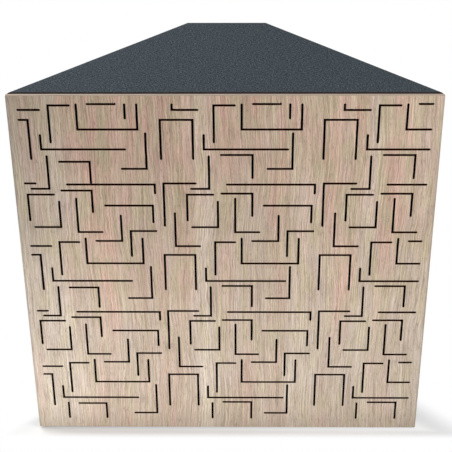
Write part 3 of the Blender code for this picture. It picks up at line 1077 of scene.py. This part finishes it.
@dataclass
class ClothCover(ClothWork):
    """The sewn cover: a top panel and three wall panels that fold under the base.

    Attributes:
        seam: The roll at the seam between the top and a wall.
        corner: The roll at the seam between two walls.
        groove: The roll at the front, where the cloth dives behind the plate.
        fold: How far a wall panel reaches in under the base.
        fold_rows: Where the fold has rows of points, as shares of its width.
        turn_steps: Steps of the turn at the base and of the one at the top seam.
        wall_rows: Distances from a wall's turns that get a row of points.
        belly: How far the slabs press a wall panel out in its middle.
        ease: How far the cloth stands off the frame's walls.
        fine: Distances from a panel's edges that get a line of points.
    """

    cloth: MelangeCloth = MelangeCloth()
    slot: str = "cover_cloth"
    thickness: float = 1.0 * MM
    step: float = 9.0 * MM
    seam: SeamRoll = SeamRoll(turn=math.radians(41.0))
    corner: SeamRoll = SeamRoll()
    groove: SeamRoll = SeamRoll(1.3 * MM, math.radians(80.0), dip=0.3 * MM, shadow=3.2 * MM)
    fold: float = 22.0 * MM
    fold_rows: tuple[float, ...] = (0.0, 0.3, 0.65, 0.85)
    turn_steps: tuple[int, int] = (6, 5)
    wall_rows: tuple[float, ...] = (0.0, 2 * MM, 5 * MM)
    belly: float = 1.2 * MM
    ease: float = 0.9 * MM
    fine: tuple[float, ...] = (0.0, 0.2 * MM, 0.5 * MM, 0.9 * MM, 1.4 * MM, 2.0 * MM, 2.8 * MM, 5.0 * MM)
    top_ripple: Ripple = Ripple(0.12 * MM, 9.0, 9.0, 1.7)
    wall_ripple: Ripple = Ripple(0.25 * MM, 7.0, 7.0, 3.3)

    def build(self) -> None:
        self.top_panel()
        for side in Side:
            self.wall_panel(side)

    def top_panel(self) -> None:
        """Make the top panel: flat on its board, rolled at its seams and behind the plate."""
        wedge = self.wedge
        reach = self.ease - self.seam.inset
        length = wedge.back_y - wedge.front_y + reach
        deep = graded(length, self.fine, self.step)
        across = graded(2 * wedge.front_half, self.fine, self.step)

        def flat(row: int, column: int) -> tuple[float, float]:
            """Give a point in plan."""
            y = wedge.front_y + deep[row] * length
            return wedge.half_at(y, -reach) * (2 * across[column] - 1), y

        def margins(row: int, column: int) -> tuple[float, float, float]:
            """Measure how far in a point is.

            Args:
                row: Its row.
                column: Its column.

            Returns:
                Its distances from the nearer wall's seam, the rear seam and the groove.
            """
            x, y = flat(row, column)
            front = deep[row] * length
            return (wedge.half_at(y, -reach) - abs(x)) * wedge.wall_normal.x, length - front, front

        def place(row: int, column: int) -> Vector:
            """Put a point in space.

            Args:
                row: Its row.
                column: Its column.

            Returns:
                Its place.
            """
            x, y = flat(row, column)
            wall, rear, front = margins(row, column)
            depth = self.seam.drop(wall) + self.seam.drop(rear) + self.groove.drop(front)
            ripple = min(self.top_ripple.at(x, y), 0.0)
            return Vector((x, y, wedge.high_z - min(depth, self.seam.radius) + ripple))

        def crease(row: int, column: int) -> float:
            """Give a point's share of the painted seam shade."""
            wall, rear, front = margins(row, column)
            return max(self.groove.crease(front), self.seam.crease(min(wall, rear)))

        panel = self.sheet("cover_top_panel", (len(deep), len(across)), place, flat, crease)
        self.dress(panel, "cover_top")
        near, far = (wedge.half_at(y, -reach) for y in (wedge.front_y, wedge.front_y + length))

    def profile(self) -> list[tuple[float, float, Vector]]:
        """Give a wall panel's section, from its fold's inner edge up to the top seam.

        Returns:
            Points as inset from the wall's face, height, and the normal as (out, up).
        """
        radius, turn = self.seam.radius, self.seam.turn
        low_z, high_z = self.wedge.low_z + radius, self.wedge.high_z - radius

        def arc(middle_z: float, start: float, end: float, steps: int) -> list[tuple[float, float, Vector]]:
            """Give the points of a turn.

            Args:
                middle_z: Height of its middle.
                start: Angle of its first point.
                end: Angle of its last point.
                steps: Steps between them.

            Returns:
                Points as in the section.
            """
            angles = [start + (end - start) * index / steps for index in range(steps + 1)]
            normals = [Vector((math.cos(angle), math.sin(angle))) for angle in angles]
            return [(radius * (1 - normal.x), middle_z + radius * normal.y, normal) for normal in normals]

        insets = [self.fold + (radius - self.fold) * share for share in self.fold_rows]
        points = [(inset, self.wedge.low_z, Vector((0.0, -1.0))) for inset in insets]
        points += arc(low_z, -math.pi / 2, 0.0, self.turn_steps[0])
        for share in graded(high_z - low_z, self.wall_rows, self.step)[1:-1]:
            points.append((0.0, low_z + (high_z - low_z) * share, Vector((1.0, 0.0))))
        points += arc(high_z, 0.0, turn, self.turn_steps[1])
        inset, z, normal = points[-1]
        return points + [(inset + self.seam.dip * normal.x, z - self.seam.dip * normal.y, normal)]

    def ends_at(self, side: Side, inset: float) -> tuple[Vector, Vector]:
        """Give a wall panel's two ends at an inset from its face, going round anticlockwise.

        Args:
            side: The wall.
            inset: How far in from its face.

        Returns:
            The start and the end, in plan.
        """
        wedge = self.wedge
        inset -= self.ease
        ends = (wedge.front_y, wedge.back_y - inset)
        left_front, right_front, right_rear, left_rear = wedge.corners(ends, inset, 0.0, 1.0)
        return {
            Side.RIGHT: (right_front, right_rear),
            Side.BACK: (right_rear, left_rear),
            Side.LEFT: (left_rear, left_front),
        }[side]

    def wall_panel(self, side: Side) -> None:
        """Make one wall's panel, with its fold under the base.

        Args:
            side: The wall.
        """
        start, end = self.ends_at(side, 0.0)
        length = (end - start).length
        heading = (end - start).normalized()
        outward = Vector((heading.y, -heading.x, 0.0))
        section = self.profile()
        across = graded(length, self.fine, self.step)
        first = self.groove if side is Side.RIGHT else self.corner
        last = self.groove if side is Side.LEFT else self.corner
        heights = [0.0]
        for lower, upper in zip(section, section[1:]):
            heights.append(heights[-1] + math.hypot(upper[0] - lower[0], upper[1] - lower[1]))
        low_z, rise = self.wedge.low_z, self.wedge.high_z - self.wedge.low_z

        def spot(row: int, column: int) -> Vector:
            """Give a point in plan, before the cloth is pressed out."""
            low, high = self.ends_at(side, section[row][0])
            return low.lerp(high, across[column])

        def flat(row: int, column: int) -> tuple[float, float]:
            """Give a point on the flat cut."""
            return (spot(row, column) - start).dot(heading), heights[row]

        def place(row: int, column: int) -> Vector:
            """Put a point in space.

            Args:
                row: Its row.
                column: Its column.

            Returns:
                Its place.
            """
            _, z, normal = section[row]
            along = across[column] * length
            swell = hump(across[column]) * hump((z - low_z) / rise)
            out = self.belly * math.sqrt(max(swell, 0.0)) + self.wall_ripple.at(along, z) * swell
            out = out * normal.x - first.drop(along) - last.drop(length - along)
            upright = Vector((0.0, 0.0, 1.0))
            return spot(row, column) + upright * z + (outward * normal.x + upright * normal.y) * out

        def crease(row: int, column: int) -> float:
            """Tell a point's share of the painted seam shade.

            Args:
                row: Its row.
                column: Its column.

            Returns:
                1 at a seam, 0 where the painted shade ends.
            """
            along = across[column] * length
            top_seam = self.seam.crease(heights[-1] - heights[row])
            return max(top_seam, first.crease(along), last.crease(length - along))

        panel = self.sheet(f"cover_{side.value}_panel", (len(section), len(across)), place, flat, crease)
        self.dress(panel, f"cover_{side.value}")


@dataclass
class BlackCloths(ClothWork):
    """The cloth behind the plate and the dust cloth under the base.

    Attributes:
        border: How far the dust cloth stays inside the wedge.
        front_gap: How far it stays behind the plate.
        hang: How far it lies below the folds.
    """

    cloth: AcousticCloth = AcousticCloth()
    slot: str = "black_cloth"
    thickness: float = 0.5 * MM
    step: float = 12.0 * MM
    backing_ripple: Ripple = Ripple(0.15 * MM, 5.0, 5.0, 0.4)
    dust_ripple: Ripple = Ripple(0.2 * MM, 8.0, 4.0, 6.1)
    border: float = 9.0 * MM
    front_gap: float = 1.0 * MM
    hang: float = 0.35 * MM

    def build(self) -> None:
        self.backing()
        self.dust_cloth()

    def spread(self, name: str, corners: list[Vector], dent: Callable[[float, float], Vector]) -> Piece:
        """Spread a sheet between four corners.

        Args:
            name: The piece's name.
            corners: Its corners, in order round it, seen from outside.
            dent: Gives the cloth's offset at a share across and a share along.

        Returns:
            The sheet, not yet thick.
        """
        width, side = ((corners[index] - corners[0]).length for index in (1, 3))
        length = (corners[3] + corners[2] - corners[1] - corners[0]).length / 2
        columns, rows = math.ceil(width / self.step), math.ceil(length / self.step)

        def place(row: int, column: int) -> Vector:
            """Put a point in space.

            Args:
                row: Its row.
                column: Its column.

            Returns:
                Its place.
            """
            u, v = column / columns, row / rows
            low, high = corners[0].lerp(corners[3], v), corners[1].lerp(corners[2], v)
            return low.lerp(high, u) + dent(u, v)

        def flat(row: int, column: int) -> tuple[float, float]:
            """Give a point on the flat cut."""
            return column / columns * width, row / rows * side

        return self.sheet(name, (rows + 1, columns + 1), place, flat)

    def backing(self) -> None:
        """Make the cloth that is stretched over the frame, behind the plate."""
        low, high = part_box("backing_cloth")
        spots = ((low.x, low.z), (high.x, low.z), (high.x, high.z), (low.x, high.z))

        def dent(u: float, v: float) -> Vector:
            """Set the cloth back a little, unevenly."""
            return Vector((0.0, self.backing_ripple.height + self.backing_ripple.at(u, v), 0.0))

        piece = self.spread("backing_sheet", [Vector((x, low.y, z)) for x, z in spots], dent)
        self.dress(piece, "backing_cloth")

    def dust_cloth(self) -> None:
        """Make the dust cloth that is stapled over the folds under the base."""
        wedge = self.wedge
        ends = (wedge.front_y + self.front_gap, wedge.back_y - self.border)

        def dent(u: float, v: float) -> Vector:
            """Raise or lower the cloth a little."""
            return Vector((0.0, 0.0, self.dust_ripple.at(u, v)))

        corners = wedge.corners(ends, self.border, wedge.low_z - self.hang, -1.0)
        piece = self.spread("dust_sheet", corners, dent)
        self.dress(piece, "cover_bottom")
        near, far = (wedge.half_at(y, self.border) for y in ends)


@dataclass
class AbsorberStack:
    """The fibre slabs, each with soft arrises and a surface matted into tufts.

    Attributes:
        sharpest: The angle that counts as an edge.
        matting: How far the surface goes in on average.
        tufts: Tufts in a metre.
    """

    nodes: Nodes
    fibre: PressedFibre = PressedFibre()
    arris: float = 2.5 * MM
    arris_steps: int = 2
    sharpest: float = math.radians(35.0)
    step: float = 12.0 * MM
    matting: float = 0.5 * MM
    tufts: float = 90.0

    def build(self) -> None:
        material = self.fibre.material()
        for name in sorted(name for name in self.nodes if name.startswith("absorber_slab")):
            self.slab(name, material)

    def block(self, counts: Sequence[int]) -> bmesh.types.BMesh:
        """Make a unit block, cut into even parts along each axis.

        Args:
            counts: Parts along X, Y and Z.

        Returns:
            The block, round the origin.
        """
        builder = bmesh.new()
        bmesh.ops.create_cube(builder, size=1.0)
        for axis, count in enumerate(counts):
            normal = Vector([float(axis == way) for way in range(3)])
            for index in range(1, count):
                geometry = builder.verts[:] + builder.edges[:] + builder.faces[:]
                spot = normal * (index / count - 0.5)
                bmesh.ops.bisect_plane(builder, geom=geometry, plane_co=spot, plane_no=normal)
        return builder

    def slab(self, name: str, material: Material) -> None:
        """Make one slab inside its node's outline.

        Args:
            name: The node's name, which ends in the slab's number.
            material: The slab's material.
        """
        low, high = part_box(name)
        size, centre = high - low, (high + low) / 2
        rear = rear_half(name, self.nodes)
        builder = self.block([math.ceil(side / self.step) for side in size])
        seed = Vector((float(name[-1]), 0.0, 0.0))
        for vert in builder.verts:
            share = vert.co + Vector((0.5, 0.5, 0.5))
            half = high.x + (rear - high.x) * share.y
            spot = Vector((vert.co.x * 2 * half, low.y + share.y * size.y, low.z + share.z * size.z))
            tuft = noise.noise(spot * self.tufts + seed)
            vert.co = spot + (centre - spot).normalized() * self.matting * (1 + tuft)
        piece = link_mesh(name.replace("slab", "pad"), builder)
        bevel = piece.modifiers.new("arris", "BEVEL")
        bevel.width = self.arris
        bevel.segments = self.arris_steps
        bevel.limit_method = "ANGLE"
        bevel.angle_limit = self.sharpest
        settle(piece)
        piece.data.materials.append(material)
        piece.data.shade_smooth()
        join_frame(piece, "absorber_wool", name)


class NodeRecipe(NodeGraph):
    """One Geometry Nodes tree with named inputs, which is baked to a plain mesh."""

    def __init__(self, name: str) -> None:
        """Start a tree that gives out geometry.

        Args:
            name: The tree's name.
        """
        self.tree = bpy.data.node_groups.new(name, "GeometryNodeTree")
        self.tree.interface.new_socket("Geometry", in_out="OUTPUT", socket_type="NodeSocketGeometry")
        self.inlet = self.node("NodeGroupInput")
        self.outlet = self.node("NodeGroupOutput")
        self.values: dict[str, object] = {}

    def size(self, name: str, value: object, kind: str = "Float") -> Socket:
        """Add a named input with its value.

        Args:
            name: What the size is.
            value: Its value.
            kind: The socket's kind.

        Returns:
            The input, to link from.
        """
        made = self.tree.interface.new_socket(name, in_out="INPUT", socket_type=f"NodeSocket{kind}")
        self.values[made.identifier] = value
        return next(socket for socket in self.inlet.outputs if socket.identifier == made.identifier)

    def shape(self, name: str, pattern: Piece) -> Socket:
        """Add an object as a named input, and give its geometry."""
        source = self.size(name, pattern, "Object")
        return self.node("GeometryNodeObjectInfo", {"Object": source}).outputs["Geometry"]

    def copies(self, points: Socket, shape: Socket, **inputs: object) -> Socket:
        """Put a copy of a shape on each point."""
        links = {"Points": points, "Instance": shape, **inputs}
        return self.node("GeometryNodeInstanceOnPoints", links).outputs["Instances"]

    def bake(self, name: str, geometry: Socket, material: Material) -> Piece:
        """Close the tree and turn its result into a plain mesh object.

        Args:
            name: The object's name.
            geometry: What the tree makes.
            material: The piece's material.

        Returns:
            The object.
        """
        real = self.node("GeometryNodeRealizeInstances", {"Geometry": geometry}).outputs["Geometry"]
        dressed = self.node("GeometryNodeSetMaterial", {"Geometry": real, "Material": material})
        self.feed(self.outlet.inputs["Geometry"], dressed.outputs["Geometry"])
        host = bpy.data.objects.new(name, bpy.data.meshes.new(name))
        bpy.context.scene.collection.objects.link(host)
        modifier = host.modifiers.new("recipe", "NODES")
        modifier.node_group = self.tree
        for identifier, value in self.values.items():
            modifier[identifier] = value
        settle(host)
        return host


@dataclass
class BaseHardware:
    """The nailed glides and the staples under the base.

    Attributes:
        disc_share: How far out a point of a glide is surely on its disc, in radii.
        rim: The radius of the turn at a glide's sole.
        nail: A nail's radius, where the node doesn't show it.
        staple_inset: How far in from the wedge's outline the staples are driven.
        staple_drop: How far below the folds their crowns lie.
        crown: A staple's crown: its width, its wire's width and its height.
        askew: How far a staple may be turned.
    """

    wedge: WedgeSizes
    nodes: Nodes
    segments: int = 48
    disc_share: float = 0.8
    rim: float = 1.2 * MM
    rim_steps: int = 4
    chamfer: float = 0.2 * MM
    nail: float = 1.2 * MM
    staple_step: float = 42.0 * MM
    staple_inset: float = 14.0 * MM
    staple_drop: float = 0.9 * MM
    crown: Triple = (10.0 * MM, 1.2 * MM, 0.6 * MM)
    askew: float = math.radians(9.0)
    sharpest: float = math.radians(40.0)
    seed: int = 4

    def build(self) -> None:
        """Make the glides and the staples."""
        self.glides()
        self.staples()

    def glide_profile(self, name: str) -> list[tuple[float, float]]:
        """Give a glide's finer profile, inside its node's.

        Args:
            name: The node's name.

        Returns:
            Points as radius and height, from the sole to the nail's point.
        """
        low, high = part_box(name)
        radius, centre = (high.x - low.x) / 2, (low + high) / 2
        spots = [vert.co - centre for vert in self.nodes[name].data.vertices]
        spots = [(math.hypot(spot.x, spot.y), spot.z + centre.z) for spot in spots]
        disc = max(z for reach, z in spots if reach > self.disc_share * radius)
        shank = (reach for reach, z in spots if disc + MM < z < high.z - MM / 2)
        nail = min(shank, default=self.nail)
        arc = []
        for index in range(self.rim_steps + 1):
            angle = math.pi / 2 * index / self.rim_steps
            arc.append((radius - self.rim * (1 - math.sin(angle)), self.rim * (1 - math.cos(angle))))
        return [
            (0.0, 0.0), *arc, (radius, disc - self.chamfer), (radius - self.chamfer, disc),
            (nail, disc), (nail, high.z - nail), (0.0, high.z),
        ]

    def turned_glide(self, name: str) -> Piece:
        """Turn a glide's profile round its axis.

        Args:
            name: The node's name.

        Returns:
            The glide, with its axis at the origin.
        """
        builder = bmesh.new()
        verts = [builder.verts.new((radius, 0.0, height)) for radius, height in self.glide_profile(name)]
        edges = [builder.edges.new(pair) for pair in zip(verts, verts[1:])]
        bmesh.ops.spin(
            builder, geom=verts + edges, cent=(0.0, 0.0, 0.0), axis=(0.0, 0.0, 1.0),
            angle=math.tau, steps=self.segments,
        )
        bmesh.ops.remove_doubles(builder, verts=builder.verts, dist=MERGED)
        bmesh.ops.recalc_face_normals(builder, faces=builder.faces)
        made = link_mesh("glide_pattern", builder)
        made.data.shade_smooth()
        made.data.set_sharp_from_angle(angle=self.sharpest)
        return made

    def glides(self) -> None:
        """Make the four glides: one turned shape, set at each node's place by its own tree."""
        names = sorted(name for name in self.nodes if name.startswith("glide_"))
        pattern = self.turned_glide(names[0])
        recipe = NodeRecipe("glides_at_corners")
        shape = recipe.shape("Glide", pattern)
        corners = recipe.node("GeometryNodeJoinGeometry")
        for name in names:
            low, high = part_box(name)
            place = recipe.size(f"Place {name}", tuple((low + high) / 2), "Vector")
            flat = recipe.node("ShaderNodeVectorMath", {0: place, 1: (1.0, 1.0, 0.0)}, operation="MULTIPLY")
            spot = recipe.node("GeometryNodePoints", {"Count": 1, "Position": flat.outputs["Vector"]})
            recipe.feed(corners.inputs["Geometry"], spot.outputs["Points"])
        placed = recipe.copies(corners.outputs["Geometry"], shape)
        piece = recipe.bake("base_glides", placed, MouldedPlastic().material())
        bpy.data.objects.remove(pattern)
        join_frame(piece, "glide_plastic", *names)

    def staple_line(self) -> Piece:
        """Make the line that the staples follow, inside the wedge's outline.

        Returns:
            The line.
        """
        wedge, inset = self.wedge, self.staple_inset
        ends = (wedge.front_y + inset, wedge.back_y - inset)
        builder = bmesh.new()
        corners = wedge.corners(ends, inset, wedge.low_z - self.staple_drop, 1.0)
        verts = [builder.verts.new(corner) for corner in corners]
        for pair in zip(verts, verts[1:] + verts[:1]):
            builder.edges.new(pair)
        return link_mesh("staple_line", builder)

    def staples(self) -> None:
        """Drive staples along the dust cloth's border, at their spacing and slightly askew."""
        line = self.staple_line()
        recipe = NodeRecipe("staples_along_border")
        path = recipe.shape("Line", line)
        spacing = recipe.size("Spacing", self.staple_step)
        crown = recipe.size("Crown", self.crown, "Vector")
        askew = recipe.size("Askew", self.askew)
        seed = recipe.size("Seed", self.seed, "Int")
        curve = recipe.node("GeometryNodeMeshToCurve", {"Mesh": path}).outputs["Curve"]
        spots = recipe.node("GeometryNodeCurveToPoints", {"Curve": curve, "Length": spacing}, mode="LENGTH")
        bar = recipe.node("GeometryNodeMeshCube", {"Size": crown}).outputs["Mesh"]
        # The float sockets of a random value: its least, its most and its result
        turns = {2: recipe.times(askew, -1.0), 3: askew, "Seed": seed}
        angle = recipe.node("FunctionNodeRandomValue", turns, data_type="FLOAT").outputs[1]
        heading = recipe.node(
            "FunctionNodeAlignEulerToVector", {"Vector": spots.outputs["Tangent"]}, axis="X", pivot_axis="Z",
        )
        parts = {0: heading.outputs["Rotation"], 1: recipe.join(0.0, 0.0, angle)}
        turn = recipe.node("ShaderNodeVectorMath", parts, operation="ADD").outputs["Vector"]
        placed = recipe.copies(spots.outputs["Points"], bar, Rotation=turn)
        piece = recipe.bake("base_staples", placed, ZincPlate().material())
        bpy.data.objects.remove(line)
        join_frame(piece, "screw_steel")


@dataclass
class FrontPlate:
    """The slotted plate: the frame's own solid in its veneer."""

    nodes: Nodes
    veneer: OakVeneer

    def dress(self) -> None:
        """Put the veneer on the plate's node."""
        dress_node(self.nodes["front_plate"], self.veneer.material())


@dataclass
class WoodenFrame:
    """The boards, posts, rail and dowels, with the screws that hold them."""

    nodes: Nodes
    wood: StainedWood = StainedWood()
    zinc: ZincPlate = ZincPlate()

    def dress(self) -> None:
        """Put the stain on each wooden node, along its grain, and zinc on the screws."""
        upright = self.wood.material(GrainAxis.UPRIGHT)
        across = self.wood.material(GrainAxis.ACROSS)
        steel = self.zinc.material()
        for name, node in sorted(self.nodes.items()):
            if "_post_" in name:
                dress_node(node, upright)
            elif name.endswith("_board") or name.startswith(("middle_rail", "rail_dowel")):
                dress_node(node, across)
            elif name.startswith("frame_screw"):
                dress_node(node, steel)


@dataclass(frozen=True)
class SoftBox:
    """A soft area lamp, with its width and height, and its power in watts."""

    name: str
    place: Triple
    aim: Triple
    size: tuple[float, float]
    power: float
    colour: Triple = (1.0, 1.0, 1.0)

    def light(self) -> None:
        """Add the lamp to the scene."""
        data = bpy.data.lights.new(self.name, "AREA")
        data.shape = "RECTANGLE"
        data.size, data.size_y = self.size
        data.energy = self.power
        data.color = self.colour
        lamp = bpy.data.objects.new(self.name, data)
        lamp.location = self.place
        direction = Vector(self.aim) - Vector(self.place)
        lamp.rotation_euler = direction.to_track_quat("-Z", "Y").to_euler()
        lamp.visible_camera = False
        bpy.context.scene.collection.objects.link(lamp)


@dataclass
class Studio:
    """The camera, the lamps, the white floor and the world.

    Attributes:
        picture_px: The picture's width in pixels, which the focal length is measured in too.
        turns: The camera's heading, pitch and roll, in degrees.
        from_plate_top: Its place, from the middle of the plate's front top edge.
        sky: The world's strength as a light.
        foot_light: How far the shadow at the object's foot is faded to white, at the middle.
        foot_lean: How much more it is faded for each metre to the right.
        shadow: Where it starts to fade further, and where it has gone.
        touch: How near the object it is lighter, by touch_swing over touch_base.
        front_haste: How many times faster it goes at the front than at the back.
        lean_reach: Where the walls' two rates meet, in half widths of the wedge.
    """

    picture_px: float = 452.0
    focal_px: float = 1312.8
    sensor: float = 36.0
    turns: Triple = (0.89, -32.2, 0.42)
    from_plate_top: Triple = (0.026, -1.633, 0.815)
    sky: float = 0.27
    floor_half: float = 6.0
    floor_tone: float = 0.92
    foot_light: float = 0.46
    foot_lean: float = 0.6
    shadow: Ramp = Ramp(50.0 * MM, 150.0 * MM)
    touch: Ramp = Ramp(50.0 * MM, 0.0)
    touch_swing: float = 0.4
    touch_base: float = 0.7
    front_haste: float = 6.0
    left_haste: float = 5.0
    right_haste: float = 2.2
    lean_reach: Ramp = Ramp(-0.5, 0.5)
    lamps: tuple[SoftBox, ...] = (
        SoftBox("overhead_soft", (-1.1, 0.45, 1.75), (-0.5, 0.2, 0.3), (1.2, 1.2), 28.8),
        SoftBox("right_soft", (1.3, -0.75, 0.6), (0.2, -0.12, 0.35), (0.8, 0.8), 2.0, WARM),
        SoftBox("right_near_soft", (0.75, -0.6, 0.95), (0.2, -0.12, 0.45), (0.5, 0.5), 4.5, WARM),
        SoftBox("front_strip", (-0.1, -0.55, 0.02), (-0.1, -0.12, 0.15), (0.9, 0.04), 1.07, MILD),
        SoftBox("left_strip", (-0.45, -0.45, 0.03), (-0.2, -0.12, 0.1), (0.4, 0.06), 0.54, MILD),
    )

    def build(self, plate: PlateSizes, wedge: WedgeSizes) -> None:
        """Set the studio up round the object.

        Args:
            plate: The plate, whose front top edge the camera's place is measured from.
            wedge: The wedge behind it.
        """
        self.camera(plate)
        self.world()
        self.floor(wedge, plate.front_y)
        for lamp in self.lamps:
            lamp.light()

    def camera(self, plate: PlateSizes) -> None:
        """Add the camera at the photograph's viewing angle.

        Args:
            plate: The plate.
        """
        data = bpy.data.cameras.new("camera")
        data.sensor_width = self.sensor
        data.lens = self.focal_px / self.picture_px * self.sensor
        camera = bpy.data.objects.new("camera", data)
        top = Vector((0.0, plate.front_y, plate.middle_z + plate.height / 2))
        placed = Matrix.Translation(top + Vector(self.from_plate_top))
        for angle, axis in zip(self.turns, "ZXY"):
            placed = placed @ Matrix.Rotation(math.radians(angle), 4, axis)
        camera.matrix_world = placed @ Matrix.Rotation(math.pi / 2, 4, "X")
        bpy.context.scene.collection.objects.link(camera)
        bpy.context.scene.camera = camera

    def world(self) -> None:
        """Light softly from all round, and show white."""
        graph = ShaderGraph("studio", world=True)
        bpy.context.scene.world = graph.made
        light = graph.node("ShaderNodeBackground", {"Color": WHITE, "Strength": self.sky})
        white = graph.node("ShaderNodeBackground", {"Color": WHITE, "Strength": 1.0})
        graph.close(graph.blend(graph.seen_directly(), light, white))

    def outward(self, graph: ShaderGraph, wedge: WedgeSizes, front_y: float) -> tuple[Socket, Socket]:
        """Measure how far out from the object's foot the floor's points are.

        Args:
            graph: The floor's graph.
            wedge: The wedge.
            front_y: The plate's face.

        Returns:
            The distance, hastened at each side by its own rate, and the distance across.
        """
        across, deep, _ = graph.split(graph.object_point())
        normal = wedge.wall_normal
        front = graph.times(graph.minus(front_y, deep), self.front_haste)
        reach = graph.largest(front, graph.minus(deep, wedge.back_y))
        wall = graph.scaled(deep, normal.y, graph.times(graph.absolute(across), normal.x))
        wall = graph.minus(wall, wedge.front_half * normal.x + wedge.front_y * normal.y)
        lean = graph.ramp(across, self.lean_reach, unit=wedge.front_half)
        haste = graph.scaled(lean, self.right_haste - self.left_haste, self.left_haste)
        return graph.largest(reach, graph.times(wall, haste)), across

    def floor(self, wedge: WedgeSizes, front_y: float) -> None:
        """Lay a floor, clear from below, with a soft shadow at the foot and plain white beyond.

        Args:
            wedge: The wedge, whose foot the shadow is measured from.
            front_y: The plate's face.
        """
        builder = bmesh.new()
        bmesh.ops.create_grid(builder, x_segments=1, y_segments=1, size=self.floor_half)
        floor = link_mesh("floor", builder)
        graph = ShaderGraph("floor_white")
        reach, across = self.outward(graph, wedge, front_y)
        foot = graph.scaled(across, self.foot_lean, self.foot_light, clamp=True)
        touch = graph.scaled(graph.ramp(reach, self.touch), self.touch_swing, self.touch_base)
        foot = graph.times(foot, touch)
        far = graph.scaled(graph.ramp(reach, self.shadow), graph.minus(1.0, foot), foot)
        tone = (self.floor_tone, self.floor_tone, self.floor_tone, 1.0)
        matt = graph.node("ShaderNodeBsdfDiffuse", {"Color": tone})
        glow = graph.node("ShaderNodeEmission", {"Strength": 1.0})
        above = graph.blend(graph.times(far, graph.seen_directly()), matt, glow)
        below = graph.node("ShaderNodeNewGeometry").outputs["Backfacing"]
        graph.close(graph.blend(below, above, graph.node("ShaderNodeBsdfTransparent")))
        floor.data.materials.append(graph.made)


def main() -> None:
    """Build the looks round the frame and report each piece."""
    logging.basicConfig(level=logging.INFO, format="%(name)s: %(message)s")
    for name in STARTUP_OBJECTS:
        if name in bpy.data.objects:
            bpy.data.objects.remove(bpy.data.objects[name])
    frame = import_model()
    nodes = frame["nodes"]
    plate = PlateSizes.read()
    wedge = WedgeSizes.read(nodes)

    Studio().build(plate, wedge)
    FrontPlate(nodes, OakVeneer(plate)).dress()
    WoodenFrame(nodes).dress()
    ClothCover(wedge).build()
    BlackCloths(wedge).build()
    AbsorberStack(nodes).build()
    BaseHardware(wedge, nodes).build()

    bpy.context.scene.view_settings.view_transform = "Standard"


if __name__ == "__main__":
    main()
